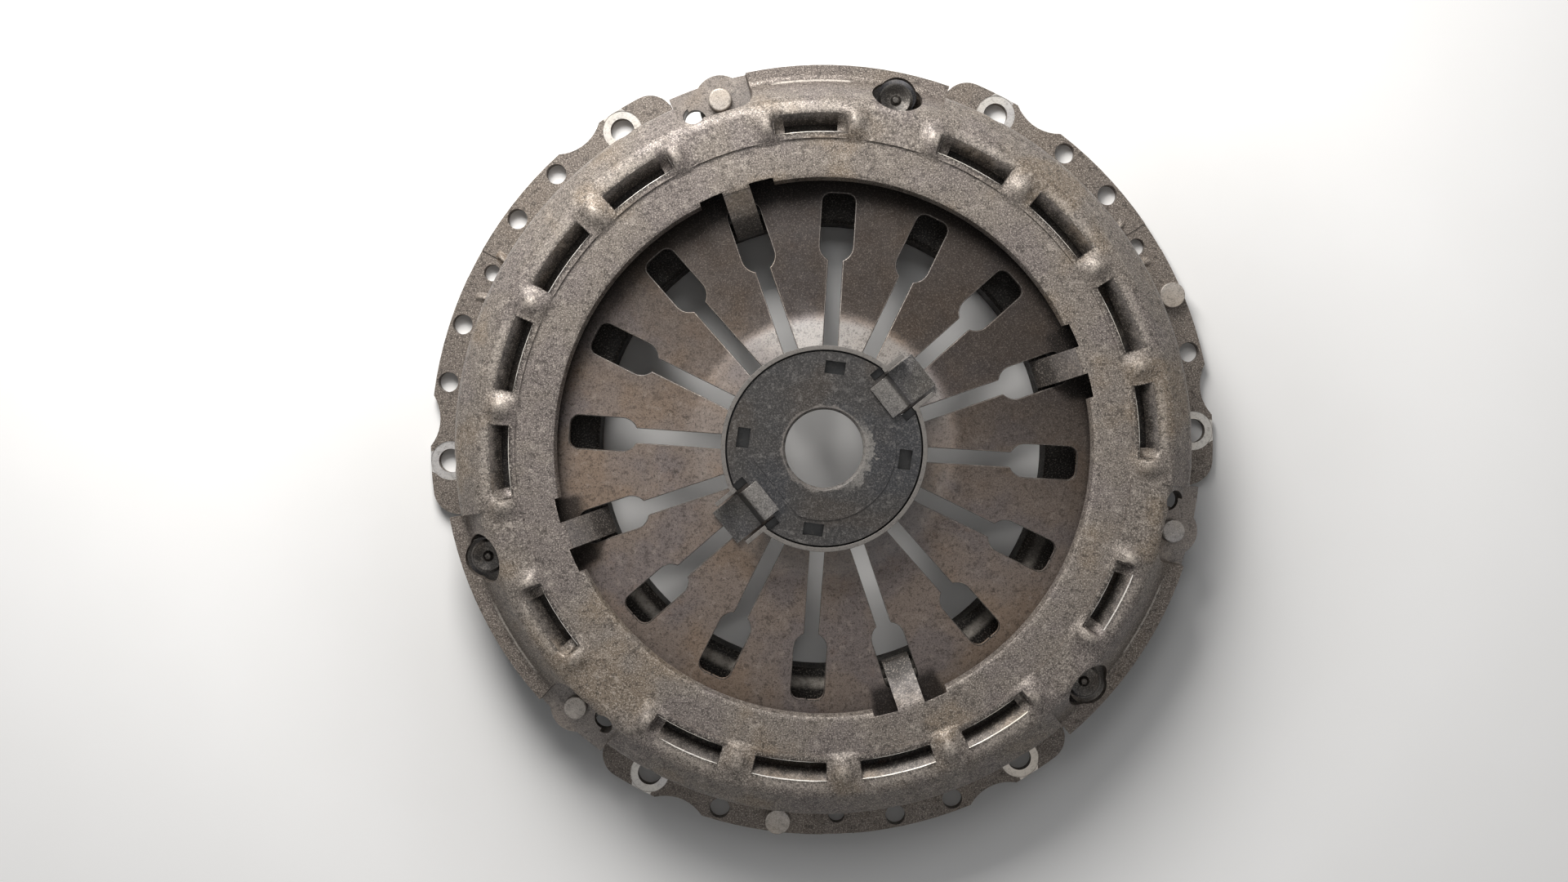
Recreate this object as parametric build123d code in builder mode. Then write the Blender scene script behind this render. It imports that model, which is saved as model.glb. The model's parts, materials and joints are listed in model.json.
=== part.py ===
"""Push-type self-adjusting clutch cover assembly for a 240 mm clutch disc.

Millimetres, +Z towards the gearbox. The origin is the centre of the cover's flywheel face, z = 0.
A pressed cover carries, from the top down, a wedge ring that turns under fifteen ramps as the disc
wears, a diaphragm spring that pivots under that ring, a sensor spring on four hooked tabs, and a cast
pressure plate hung on three packs of leaf springs. A thrust plate sits on the spring's finger tips.
"""
from build123d import *
from math import cos, pi, radians, sin, tan
import os

os.makedirs("parts", exist_ok=True)

# ---------------------------------------------------------------- driving dimensions
flange_radius = 141.0           # overall; every other radius is stepped in from it
fit_gap = 0.1                   # clearance between seated pieces
sheet = 4.0                     # cover sheet thickness
cover_height = 37.0             # top of the cover's inner flat
wall_foot_radius = flange_radius - 10.5
wall_top_radius = wall_foot_radius - 3.0
wall_top_height = 29.0
shoulder_radius = wall_top_radius - 9.0
ridge_rise = 0.8                # step up from the inner flat to the windowed ridge
ridge_radius = shoulder_radius - 13.2
cover_bore_radius = ridge_radius - 13.9
bore_lip = 2.4                  # rounding of the bore's upper edge
ear_corner_radius = 9.0
strap_root_radius = wall_top_radius  # foot of the shoulder above a strap
shelf_radius = strap_root_radius + 5.1  # raised shelf that the straps hang from
shelf_height = 24.0
flange_bends = (6.0, 7.0, 1.2)  # bend radii of the shoulder, wall top and wall foot
strap_bends = (6.0, 3.5)        # the same at the shelf
sector_count = 3
flange_angle = 32.0             # middle of the first flange sector
strap_angle = 92.0              # middle of the first strap sector
strap_sector = 43.2             # width of a strap sector, degrees

bolt_circle_radius = wall_foot_radius + 3.5
bolt_count = 6
bolt_angle = 2.0
bolt_hole_radius = 4.3
bolt_seat_radius = 7.0
bolt_seat_depth = 0.3
dowel_hole_radius = 3.0
dowel_pad_width = 11.0
dowel_pad_depth = 0.5
balance_circle_radius = wall_foot_radius + 6.0
balance_hole_radius = 3.6
balance_pitch = 9.0             # degrees between the holes of one group
scallop_angle = 24.0            # from the middle of the group
scallop_radius = 16.0
scallop_depth = 3.2
balance_rivet_angles = (23.0, 263.0)
balance_rivet_head_radius = 4.5
balance_rivet_head_height = 3.6

window_angles = (4.5, 23.7, 42.9, 62.1, 92.0)  # ramp windows of one third of the ridge
window_arc = 13.0
window_inner_radius = shoulder_radius - 11.0
window_width = 2.8
window_flare = 3.6              # how far the outer side slopes back
ramp_arc = 13.0                 # length of a ramp under the cover, degrees
ramp_depth = 3.25               # what it falls over that length
ramp_outer_radius = window_inner_radius - 0.2
ramp_inner_radius = ramp_outer_radius - 8.3

tab_angle = 18.5                # first hooked tab, and first finger slot
tab_count = 4
tab_width = 9.5
tab_sheet = 3.2
tab_foot_radius = cover_bore_radius - 3.4
tab_reach_radius = tab_foot_radius - 9.4  # innermost part of the tab's middle line
tab_sheet_root = 2.0            # run into the cover's flat
tab_shoulder = 4.0              # where it turns down, inside the notches' ends
tab_knee = (6.0, 9.0)           # bend above the hook, from the hook's innermost part
tab_heel = 3.0                  # height of that innermost part over the foot
tab_bends = (4.0, 6.0, 3.0, 2.0)
notch_width = 8.4
notch_radius = cover_bore_radius + 6.2

strap_circle_radius = strap_root_radius - 1.5  # strap rivets, in the cover
lug_circle_radius = strap_circle_radius - 2.0  # lug rivets, in the pressure plate
strap_rivet_angle = 106.2
leaf_width = 15.0
leaf_sheet = 0.9
leaf_count = 3
strap_level = 16.0              # underside of the rivet pocket, top of the straps
pocket_inner_radius = strap_circle_radius - 5.1
pocket_width = 21.5
pocket_wall = 3.0
pocket_corner = 5.0
pocket_draft = 6.0              # slope of its sides
pocket_mouth_radius = pocket_inner_radius + 4.5  # outside this it runs on to the sector's end
rivet_ear_radius = 9.0
moon_radius = 3.9
moon_angle = 111.0
moon_circle_radius = strap_circle_radius - 3.8
strap_rivet_radius = 2.9
strap_rivet_head_radius = 4.1
strap_rivet_head = 3.0
lug_rivet_radius = 4.0
lug_rivet_head_radius = 6.0
lug_rivet_head = 3.2
lug_rivet_tail = 2.0
lug_rivet_edge = 0.9            # chamfer of the dished head
lug_rivet_nib = 0.3             # top of the nib below the head's rim
lug_rivet_dish = 1.2            # depth of the dish
lug_hole_radius = 6.9           # access hole in the shelf
lug_hole_oval = (6.0, 8.8)      # wider oval run into it on its inner side
rivet_edge = 0.4

friction_height = 1.0           # friction face above the flywheel face
plate_outer_radius = strap_circle_radius - 5.2
plate_inner_radius = plate_outer_radius - 41.8
plate_thickness = 14.0
knife_radius = plate_outer_radius - 5.8
knife_width = 3.0
plate_groove = 2.5
plate_edge = 1.2
vent_pitch = 20.0               # degrees between the vents through the knife edge
lug_angle = 77.8
lug_width = 21.0
lug_tip_radius = lug_circle_radius + 7.5
lug_lift = 3.0                  # underside of a lug above the friction face
strap_recess_depth = 4.0        # below the plate's top, under a strap

finger_count = 16
spring_sheet = 2.6
cone_angle = 9.0
pivot_radius = knife_radius - 15.0
spring_outer_radius = knife_radius + 1.5
finger_bend_radius = 52.0
finger_bend_angle = 15.3
finger_crown_radius = 29.0
finger_tip_radius = 24.0
slot_width = 5.0
keyhole_outer_radius = pivot_radius - 12.0
keyhole_inner_radius = keyhole_outer_radius - 24.0
keyhole_width = 11.5
keyhole_corner = 3.0
finger_droop = 0.4              # the tips fall this much inside the crown

sensor_sheet = 1.5
sensor_outer_radius = pivot_radius + 0.5
sensor_rim_radius = pivot_radius - 7.5
sensor_tongue_radius = pivot_radius - 16.0
sensor_tongue_width = 14.0
sensor_fall = 0.5               # its inner edge lies this much lower than the main spring's cone gives

adjust_turn = 8.0               # degrees the wedge ring turns, new to worn
adjust_rise = 2.0               # what it moves along Z in that turn
ring_gap = 0.25                 # between the ring's ramps and the cover's
ring_inner_radius = ramp_inner_radius - 0.2
ring_ramp_radius = window_inner_radius + 1.0
ring_outer_radius = ring_ramp_radius + 5.0
ring_base = 1.4                 # thickness of the ring's base
bead_height = 0.8
bead_width = 2.6
pivot_gap = 0.2

coil_angle = 108.0              # middle of the first adjuster spring
coil_circle_radius = ring_ramp_radius + 1.8
coil_outer_radius = 2.75
coil_wire_radius = 0.5
coil_turns = 5
coil_length = 29.0
coil_stop = 1.5                 # thickness of the stops at its ends
coil_stop_width = 5.0
coil_stop_root = 2.0            # how far the ring's stop reaches in under its ramps

clip_angles = (38.0, 218.7)
cup_radius = 34.8
cup_sheet = 1.5
cup_base = 1.2
cup_base_radius = 18.0
cup_rim_height = 4.9
cup_flare = 7.0
disc_gap = 0.6                  # between the thrust plate's edge and the cup
disc_thickness = 3.0
disc_bore_radius = 13.2
bore_chamfer = 0.8
platform_rise = 0.4
platform_radius = 24.2
platform_flat = 21.0
disc_hole_length = 6.8
disc_hole_width = 4.3
disc_hole_radius = 27.5
disc_hole_angle = 82.0
disc_notch_width = 20.0
disc_notch_radius = 27.4
clip_sheet = 1.2
clip_width = 13.4
clip_lip_width = 12.4
clip_outer_radius = 43.2
clip_side_gap = 0.7             # between the clip and the cup
clip_crease = 2.6               # where it turns up, inside the cup's rim
clip_crest = (4.6, 1.9)         # inside the cup's rim, and above the thrust plate
clip_lip_radius = 24.6
clip_lip_gap = 0.3              # under the lip's end
clip_bends = (0.9, 1.2)

# ---------------------------------------------------------------- heights that follow
third = 360.0 / sector_count
ridge_height = cover_height + ridge_rise
cover_under = cover_height - sheet
ring_top = cover_under - ring_gap - adjust_rise
ring_base_top = ring_top - ramp_depth - fit_gap
ring_base_bottom = ring_base_top - ring_base
bead_bottom = ring_base_bottom - bead_height
cone = tan(radians(cone_angle))
spring_depth = spring_sheet / cos(radians(cone_angle))
pivot_top = bead_bottom - pivot_gap


def cone_under(radius):
    """Height of the diaphragm spring's underside outside its finger bend."""
    return pivot_top - spring_depth - (radius - pivot_radius) * cone


knife_top = cone_under(knife_radius + knife_width / 4) - fit_gap
plate_top = friction_height + plate_thickness
straps_top = strap_level - fit_gap / 2
straps_bottom = straps_top - leaf_count * leaf_sheet
lug_top = straps_bottom - fit_gap / 2
bend_slope = tan(radians(finger_bend_angle))
crown_under = cone_under(finger_bend_radius) + (finger_bend_radius - finger_crown_radius) * bend_slope
tip_top = crown_under + spring_sheet
cup_bottom = tip_top + fit_gap
disc_bottom = cup_bottom + cup_base + fit_gap
disc_top = disc_bottom + disc_thickness
sensor_rim_under = cone_under(sensor_outer_radius) - sensor_sheet - pivot_gap
sensor_tongue_under = (
    sensor_rim_under + (sensor_outer_radius - sensor_tongue_radius) * cone - sensor_fall - sensor_sheet
)
sensor_slope = (sensor_tongue_under - sensor_rim_under) / (sensor_outer_radius - sensor_tongue_radius)
foot_top = sensor_rim_under + (sensor_outer_radius - tab_foot_radius) * sensor_slope - fit_gap
strap_half = radians(strap_rivet_angle - lug_angle) / 2
strap_end = Vector(cos(strap_half), sin(strap_half)) * strap_circle_radius
lug_end = Vector(cos(strap_half), -sin(strap_half)) * lug_circle_radius
strap_middle = (strap_end + lug_end) / 2
strap_span = (strap_end - lug_end).length
strap_lean = Vector(1, 0).get_signed_angle(strap_end - lug_end)
tall = 2 * cover_height


def radial_plane(angle):
    """Plane through the axis at an angle: local x runs outwards and local y runs up."""
    turn = radians(angle)
    return Plane(origin=(0, 0, 0), x_dir=(cos(turn), sin(turn), 0), z_dir=(sin(turn), -cos(turn), 0))


def level_plane(height, angle):
    """Level plane at a height: local x runs outwards at the angle."""
    turn = radians(angle)
    return Plane(origin=(0, 0, height), x_dir=(cos(turn), sin(turn), 0), z_dir=(0, 0, 1))


def thirds(angle):
    """The same angle in each of the cover's three thirds."""
    return [angle + third * index for index in range(sector_count)]


# ---------------------------------------------------------------- cover
flange_line = (
    (ridge_radius, ridge_height),
    (shoulder_radius, ridge_height),
    (wall_top_radius, wall_top_height),
    (wall_foot_radius, sheet),
    (bolt_circle_radius, sheet),
)
strap_line = (
    (ridge_radius, ridge_height),
    (shoulder_radius, ridge_height),
    (strap_root_radius, shelf_height),
    (shelf_radius, shelf_height),
)
flange_start = flange_angle - (third - strap_sector) / 2
strap_start = strap_angle - strap_sector / 2
sector_end = tan(radians(strap_angle + strap_sector / 2 - strap_rivet_angle))

with BuildPart() as flange_shell:
    with BuildSketch(radial_plane(flange_start)):
        with BuildLine():
            FilletPolyline(*flange_line, radius=flange_bends)
            offset(amount=-sheet, side=Side.RIGHT)
        make_face()
    revolve(axis=Axis.Z, revolution_arc=third - strap_sector)

with BuildPart() as strap_shell:
    with BuildSketch(radial_plane(strap_start)):
        with BuildLine():
            FilletPolyline(*strap_line, radius=strap_bends)
            offset(amount=-sheet, side=Side.RIGHT)
        make_face()
    revolve(axis=Axis.Z, revolution_arc=strap_sector)

# One flange sector in plan: rounded ears at its ends and two shallow scallops.
with BuildPart() as flange:
    with BuildSketch(level_plane(0, flange_angle)) as flange_plan:
        with BuildLine():
            half = (third - strap_sector) / 2
            outer = CenterArc((0, 0), flange_radius, -half, 2 * half)
            inner = CenterArc((0, 0), wall_foot_radius - sheet / 2, -half, 2 * half)
            Line(outer @ 0, inner @ 0)
            Line(outer @ 1, inner @ 1)
        make_face()
        fillet(flange_plan.vertices().group_by(SortBy.DISTANCE)[-1], radius=ear_corner_radius)
        scallop_centre = flange_radius + scallop_radius - scallop_depth
        with PolarLocations(scallop_centre, 2, -scallop_angle, 4 * scallop_angle):
            Circle(scallop_radius, mode=Mode.SUBTRACT)
    extrude(amount=sheet)

# The wall bulges inwards beside each bolt, which leaves room for the bolt's head.
with BuildPart() as bolt_bulge:
    with BuildSketch(radial_plane(bolt_angle - half)):
        Polygon(
            (bolt_circle_radius - bolt_seat_radius - sheet, 0),
            (wall_top_radius - sheet, wall_top_height - sheet),
            (wall_top_radius - sheet / 2, wall_top_height - sheet),
            (wall_foot_radius - sheet / 4, 0),
            align=None,
        )
    revolve(axis=Axis.Z, revolution_arc=2 * half)
    with BuildSketch(level_plane(0, bolt_angle)):
        with Locations((bolt_circle_radius, 0)):
            Circle(bolt_seat_radius + sheet)
    extrude(amount=tall, mode=Mode.INTERSECT)

# Dished pocket for the cover's end of a strap: a block under the pressed surface, hollowed later.
with BuildPart() as pocket_block:
    with BuildSketch(radial_plane(strap_start)):
        Polygon(
            (ridge_radius, strap_level),
            (ridge_radius, ridge_height - sheet / 2),
            (shoulder_radius - sheet, ridge_height - sheet / 2),
            (strap_root_radius, shelf_height),
            (shelf_radius, shelf_height),
            (shelf_radius, strap_level),
            align=None,
        )
    revolve(axis=Axis.Z, revolution_arc=strap_sector)
    with BuildSketch(level_plane(strap_level, strap_rivet_angle)) as block_plan:
        with Locations((pocket_inner_radius - pocket_wall, -pocket_width / 2 - pocket_wall)):
            Rectangle(2 * (shelf_radius - pocket_inner_radius), 3 * pocket_width, align=Align.MIN)
        fillet(block_plan.vertices().sort_by(SortBy.DISTANCE)[0], radius=pocket_corner)
    extrude(amount=tall, mode=Mode.INTERSECT)
    with BuildSketch(level_plane(strap_level, strap_rivet_angle)):
        with Locations((strap_circle_radius, 0)):
            Circle(rivet_ear_radius)
    extrude(amount=sheet)

# Ramps pressed down under the ridge: each falls as the angle grows, then ends in a step.
ramp_half = ramp_inner_radius * tan(radians(ramp_arc / 2))
with BuildPart() as cover_ramps:
    for window_angle in window_angles:
        with BuildSketch(
            Plane(
                origin=(0, 0, cover_under),
                x_dir=(-sin(radians(window_angle)), cos(radians(window_angle)), 0),
                z_dir=(cos(radians(window_angle)), sin(radians(window_angle)), 0),
            )
        ):
            Polygon(
                (-ramp_half, 0),
                (ramp_half, -ramp_depth),
                (ramp_half, sheet / 4),
                (-ramp_half, sheet / 4),
                align=None,
            )
        extrude(amount=tall * 2)
    with BuildSketch(Plane.XY.offset(cover_under - ramp_depth)):
        Circle(ramp_outer_radius)
        Circle(ramp_inner_radius, mode=Mode.SUBTRACT)
    extrude(amount=2 * ramp_depth, mode=Mode.INTERSECT)

# Hooked tab: it leaves the cover's bore, drops through a keyhole and turns outwards under the spring.
tab_path = (
    (notch_radius + tab_sheet_root, cover_height - sheet / 2),
    (notch_radius - tab_shoulder, cover_height - sheet / 2),
    (tab_reach_radius + tab_knee[0], foot_top + tab_knee[1]),
    (tab_reach_radius, foot_top + tab_heel),
    (tab_reach_radius + tab_sheet / 3, foot_top - tab_sheet / 2),
    (tab_foot_radius, foot_top - tab_sheet / 2),
)
with BuildPart() as tab:
    with BuildSketch(radial_plane(tab_angle)):
        with BuildLine():
            FilletPolyline(*tab_path, radius=tab_bends)
        trace(line_width=tab_sheet)
    extrude(amount=tab_width / 2, both=True)

with BuildPart() as cover:
    with BuildSketch(radial_plane(0)):
        Polygon(
            (cover_bore_radius, cover_under),
            (ridge_radius + sheet / 2, cover_under),
            (ridge_radius + sheet / 2, cover_height),
            (cover_bore_radius + bore_lip, cover_height),
            (cover_bore_radius + bore_lip / 3, cover_height - bore_lip / 3),
            (cover_bore_radius, cover_height - bore_lip),
            align=None,
        )
    revolve(axis=Axis.Z)
    for turn in thirds(0):
        with Locations(Location((0, 0, 0), (0, 0, turn))):
            add(flange_shell.part)
            add(strap_shell.part)
            add(flange.part)
            add(pocket_block.part)
            add(cover_ramps.part)
    for turn in range(bolt_count):
        with Locations(Location((0, 0, 0), (0, 0, turn * 360 / bolt_count))):
            add(bolt_bulge.part)
    # Stops for the adjuster springs hang from the ridge.
    with BuildSketch(Plane.XY.offset(ring_base_bottom)):
        stop_angle = (coil_length / 2 + pivot_gap + coil_stop / 2) / coil_circle_radius * 180 / pi
        for angle in thirds(coil_angle - stop_angle):
            with Locations(Location((0, 0, 0), (0, 0, angle))):
                with Locations((coil_circle_radius, 0)):
                    Rectangle(coil_stop_width, coil_stop)
    extrude(until=Until.NEXT)
    # Ramp windows: the inner side is sheared upright and the outer side slopes back.
    for window_angle in window_angles:
        for angle in thirds(window_angle - window_arc / 2):
            with BuildSketch(radial_plane(angle)):
                Polygon(
                    (window_inner_radius, cover_under - sheet),
                    (window_inner_radius + window_width, cover_under - sheet),
                    (window_inner_radius + window_width, cover_under + sheet / 4),
                    (window_inner_radius + window_width + window_flare, ridge_height + fit_gap),
                    (window_inner_radius, ridge_height + fit_gap),
                    align=None,
                )
            revolve(axis=Axis.Z, revolution_arc=window_arc, mode=Mode.SUBTRACT)
    # Rivet pockets are hollowed from above with sloping sides, and run on to the sector's end outside the
    # shoulder. A round hole opens one corner of each.
    for angle in thirds(strap_rivet_angle):
        with BuildSketch(level_plane(strap_level + sheet, angle)) as pocket_plan:
            with Locations((pocket_inner_radius, 0)):
                Rectangle(flange_radius - pocket_inner_radius, pocket_width, align=(Align.MIN, Align.CENTER))
            fillet(pocket_plan.vertices().sort_by(SortBy.DISTANCE)[:2], radius=pocket_corner)
        extrude(amount=cover_height - strap_level, taper=-pocket_draft, mode=Mode.SUBTRACT)
        with BuildSketch(level_plane(strap_level + sheet, angle)):
            Polygon(
                (pocket_mouth_radius, 0),
                (pocket_mouth_radius, pocket_mouth_radius * sector_end),
                (flange_radius, flange_radius * sector_end),
                (flange_radius, 0),
                align=None,
            )
        extrude(amount=tall, mode=Mode.SUBTRACT)
    with BuildSketch():
        with PolarLocations(moon_circle_radius, sector_count, moon_angle):
            Circle(moon_radius)
        with PolarLocations(strap_circle_radius, sector_count, strap_rivet_angle):
            Circle(strap_rivet_radius + fit_gap)
        # Access to the lug rivets: a round hole run into a wider oval one.
        with PolarLocations(lug_circle_radius, sector_count, lug_angle):
            Circle(lug_hole_radius)
        with PolarLocations(lug_circle_radius - 1, sector_count, lug_angle):
            Ellipse(*lug_hole_oval)
    extrude(amount=tall, mode=Mode.SUBTRACT)
    # Flange: coined bolt seats, dowel pads and balance holes.
    with BuildSketch(Plane.XY.offset(sheet - bolt_seat_depth)):
        with PolarLocations(bolt_circle_radius, bolt_count, bolt_angle):
            Circle(bolt_seat_radius)
    extrude(amount=tall, mode=Mode.SUBTRACT)
    with BuildSketch(Plane.XY.offset(sheet - dowel_pad_depth)):
        for angle in thirds(flange_angle):
            with Locations(Location((0, 0, 0), (0, 0, angle))):
                with Locations((wall_foot_radius + 1, 0)):
                    Rectangle(flange_radius, dowel_pad_width, align=(Align.MIN, Align.CENTER))
    extrude(amount=sheet, mode=Mode.SUBTRACT)
    with BuildSketch():
        with PolarLocations(bolt_circle_radius, bolt_count, bolt_angle):
            Circle(bolt_hole_radius)
        with PolarLocations(bolt_circle_radius, sector_count, flange_angle):
            Circle(dowel_hole_radius)
        for step in (-2, -1, 1, 2):
            with PolarLocations(balance_circle_radius, sector_count, flange_angle + step * balance_pitch):
                Circle(balance_hole_radius)
    extrude(amount=sheet, mode=Mode.SUBTRACT)
    # Rounded relief notches beside each tab, then the tabs.
    with BuildSketch(Plane.XY.offset(cover_under - sheet / 4)):
        for index in range(tab_count):
            with Locations(Location((0, 0, 0), (0, 0, tab_angle + index * 360 / tab_count))):
                with Locations(
                    (notch_radius - notch_width / 2, (tab_width + notch_width) / 2),
                    (notch_radius - notch_width / 2, -(tab_width + notch_width) / 2),
                ):
                    Circle(notch_width / 2)
                    Rectangle(2 * notch_width, notch_width, align=(Align.MAX, Align.CENTER))
    extrude(amount=sheet + ridge_rise, mode=Mode.SUBTRACT)
    for index in range(tab_count):
        with Locations(Location((0, 0, 0), (0, 0, index * 360 / tab_count))):
            add(tab.part)
cover.part.label = "cover"
export_step(cover.part, "parts/cover.step")

# ---------------------------------------------------------------- rivets
with BuildPart() as balance_rivets:
    for angle in balance_rivet_angles:
        with BuildSketch(Plane.XY):
            with PolarLocations(balance_circle_radius, 1, angle):
                Circle(balance_hole_radius - fit_gap)
        extrude(amount=sheet + fit_gap)
        with BuildSketch(Plane.XY.offset(sheet + fit_gap / 2)):
            with PolarLocations(balance_circle_radius, 1, angle):
                Circle(balance_rivet_head_radius)
        extrude(amount=balance_rivet_head_height)
balance_rivets.part.label = "balance_rivets"
export_step(balance_rivets.part, "parts/balance_rivets.step")


def upright_axis(radius, angle):
    """Axis of a rivet that stands at a radius and an angle."""
    return Axis((radius * cos(radians(angle)), radius * sin(radians(angle)), 0), (0, 0, 1))


pocket_floor = strap_level + sheet + fit_gap / 2
with BuildPart() as strap_rivets:
    for angle in thirds(strap_rivet_angle):
        with BuildSketch(radial_plane(angle)):
            with Locations((strap_circle_radius, 0)):
                Polygon(
                    (0, straps_bottom - strap_rivet_head),
                    (strap_rivet_head_radius, straps_bottom - strap_rivet_head + rivet_edge),
                    (strap_rivet_head_radius, straps_bottom - fit_gap / 2),
                    (strap_rivet_radius, straps_bottom - fit_gap / 2),
                    (strap_rivet_radius, pocket_floor),
                    (strap_rivet_head_radius, pocket_floor),
                    (strap_rivet_head_radius, pocket_floor + strap_rivet_head - rivet_edge),
                    (strap_rivet_head_radius - rivet_edge, pocket_floor + strap_rivet_head),
                    (0, pocket_floor + strap_rivet_head),
                    align=None,
                )
        revolve(axis=upright_axis(strap_circle_radius, angle))
strap_rivets.part.label = "strap_rivets"
export_step(strap_rivets.part, "parts/strap_rivets.step")

# Lug rivets: the tail sits up in the lug, and the large head is dished round a nib.
head_under = strap_level + fit_gap / 2
head_top = head_under + lug_rivet_head
tail_bottom = friction_height + lug_lift + lug_rivet_nib
tail_top = tail_bottom + lug_rivet_tail
with BuildPart() as lug_rivets:
    for angle in thirds(lug_angle):
        with BuildSketch(radial_plane(angle)):
            with Locations((lug_circle_radius, 0)):
                Polygon(
                    (0, tail_bottom),
                    (lug_rivet_head_radius, tail_bottom),
                    (lug_rivet_head_radius, tail_top),
                    (lug_rivet_radius, tail_top),
                    (lug_rivet_radius, head_under),
                    (lug_rivet_head_radius, head_under),
                    (lug_rivet_head_radius, head_top - lug_rivet_edge),
                    (lug_rivet_head_radius - lug_rivet_edge, head_top),
                    (lug_rivet_radius / 2, head_top - lug_rivet_dish),
                    (lug_rivet_radius / 4, head_top - lug_rivet_nib),
                    (0, head_top - lug_rivet_nib),
                    align=None,
                )
        revolve(axis=upright_axis(lug_circle_radius, angle))
lug_rivets.part.label = "lug_rivets"
export_step(lug_rivets.part, "parts/lug_rivets.step")

# ---------------------------------------------------------------- leaf springs
for number, angle in enumerate(thirds(strap_angle), start=1):
    for layer in range(leaf_count):
        with BuildPart() as leaf:
            with BuildSketch(level_plane(straps_top - (layer + 1) * leaf_sheet, angle)):
                with Locations(strap_middle):
                    SlotCenterToCenter(strap_span, leaf_width, rotation=strap_lean)
                with Locations(strap_end):
                    Circle(strap_rivet_radius + fit_gap, mode=Mode.SUBTRACT)
                with Locations(lug_end):
                    Circle(lug_rivet_radius + fit_gap, mode=Mode.SUBTRACT)
            extrude(amount=leaf_sheet)
        leaf.part.label = f"leaf_spring_{number}_{layer + 1}"
        export_step(leaf.part, f"parts/leaf_spring_{number}_{layer + 1}.step")

# ---------------------------------------------------------------- wedge ring and its springs
with BuildPart() as ring_ramps:
    for window_angle in window_angles:
        start = ring_inner_radius * sin(radians(adjust_turn - ramp_arc / 2))
        slope = ramp_depth / (2 * ramp_half)
        start_height = cover_under - (start + ramp_half) * slope - ring_gap
        end = start + (start_height - ring_base_top) / slope
        with BuildSketch(
            Plane(
                origin=(0, 0, 0),
                x_dir=(-sin(radians(window_angle)), cos(radians(window_angle)), 0),
                z_dir=(cos(radians(window_angle)), sin(radians(window_angle)), 0),
            )
        ):
            Polygon(
                (start, ring_base_bottom),
                (end, ring_base_bottom),
                (end, ring_base_top),
                (start, start_height),
                align=None,
            )
        extrude(amount=tall * 2)
    with BuildSketch(Plane.XY.offset(ring_base_bottom)):
        Circle(ring_ramp_radius)
        Circle(ring_inner_radius, mode=Mode.SUBTRACT)
    extrude(amount=tall, mode=Mode.INTERSECT)

coil_half = (coil_length / 2 + pivot_gap + coil_stop) / coil_circle_radius * 180 / pi
with BuildPart() as adjuster_ring:
    with BuildSketch(radial_plane(0)):
        Polygon(
            (ring_inner_radius, ring_base_bottom),
            (pivot_radius - bead_width / 4, bead_bottom),
            (pivot_radius + bead_width / 4, bead_bottom),
            (pivot_radius + bead_width, ring_base_bottom),
            (ring_outer_radius, ring_base_bottom),
            (ring_outer_radius, ring_base_top),
            (ring_inner_radius, ring_base_top),
            align=None,
        )
    revolve(axis=Axis.Z)
    for turn in thirds(0):
        with Locations(Location((0, 0, 0), (0, 0, turn))):
            add(ring_ramps.part)
    # The rim is cut away where an adjuster spring lies, from the cover's stop to the ring's own.
    for angle in thirds(coil_angle - coil_half - adjust_turn / 4):
        with BuildSketch(radial_plane(angle)):
            Polygon(
                (ramp_outer_radius - fit_gap, bead_bottom),
                (ring_outer_radius + 1, bead_bottom),
                (ring_outer_radius + 1, cover_under),
                (ramp_outer_radius - fit_gap, cover_under),
                align=None,
            )
        revolve(axis=Axis.Z, revolution_arc=2 * coil_half + adjust_turn / 4, mode=Mode.SUBTRACT)
    with BuildSketch(Plane.XY.offset(ring_base_bottom)):
        for angle in thirds(coil_angle + stop_angle):
            with Locations(Location((0, 0, 0), (0, 0, angle))):
                with Locations((ring_ramp_radius - coil_stop_root, 0)):
                    Rectangle(coil_stop_width + coil_stop, coil_stop, align=(Align.MIN, Align.CENTER))
    extrude(amount=ring_top - ring_base_bottom)
adjuster_ring.part.label = "adjuster_ring"
export_step(adjuster_ring.part, "parts/adjuster_ring.step")

coil_level = ring_top - coil_outer_radius - ring_gap
coil_radius = coil_outer_radius - coil_wire_radius
with BuildPart() as adjuster_springs:
    for angle in thirds(coil_angle):
        turn = radians(angle)
        along = Vector(-sin(turn), cos(turn), 0)
        outward = Vector(cos(turn), sin(turn), 0)
        centre = outward * coil_circle_radius + Vector(0, 0, coil_level)
        reach = coil_length / 2 - coil_wire_radius
        with BuildLine():
            coil = Helix(
                pitch=2 * reach / coil_turns,
                height=2 * reach,
                radius=coil_radius,
                center=centre - along * reach,
                direction=along,
            )
        with BuildSketch(Plane(origin=coil @ 0, z_dir=coil % 0)):
            RegularPolygon(coil_wire_radius, 6)
        sweep(is_frenet=True)
adjuster_springs.part.label = "adjuster_springs"
export_step(adjuster_springs.part, "parts/adjuster_springs.step")

# ---------------------------------------------------------------- diaphragm spring
spring_lower = [
    (spring_outer_radius, cone_under(spring_outer_radius)),
    (finger_bend_radius, cone_under(finger_bend_radius)),
    (finger_crown_radius, crown_under),
    (finger_tip_radius, crown_under - finger_droop),
]
spring_upper = [(radius, height + spring_depth) for radius, height in spring_lower[:2]]
spring_upper += [(radius, height + spring_sheet) for radius, height in spring_lower[2:]]

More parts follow.
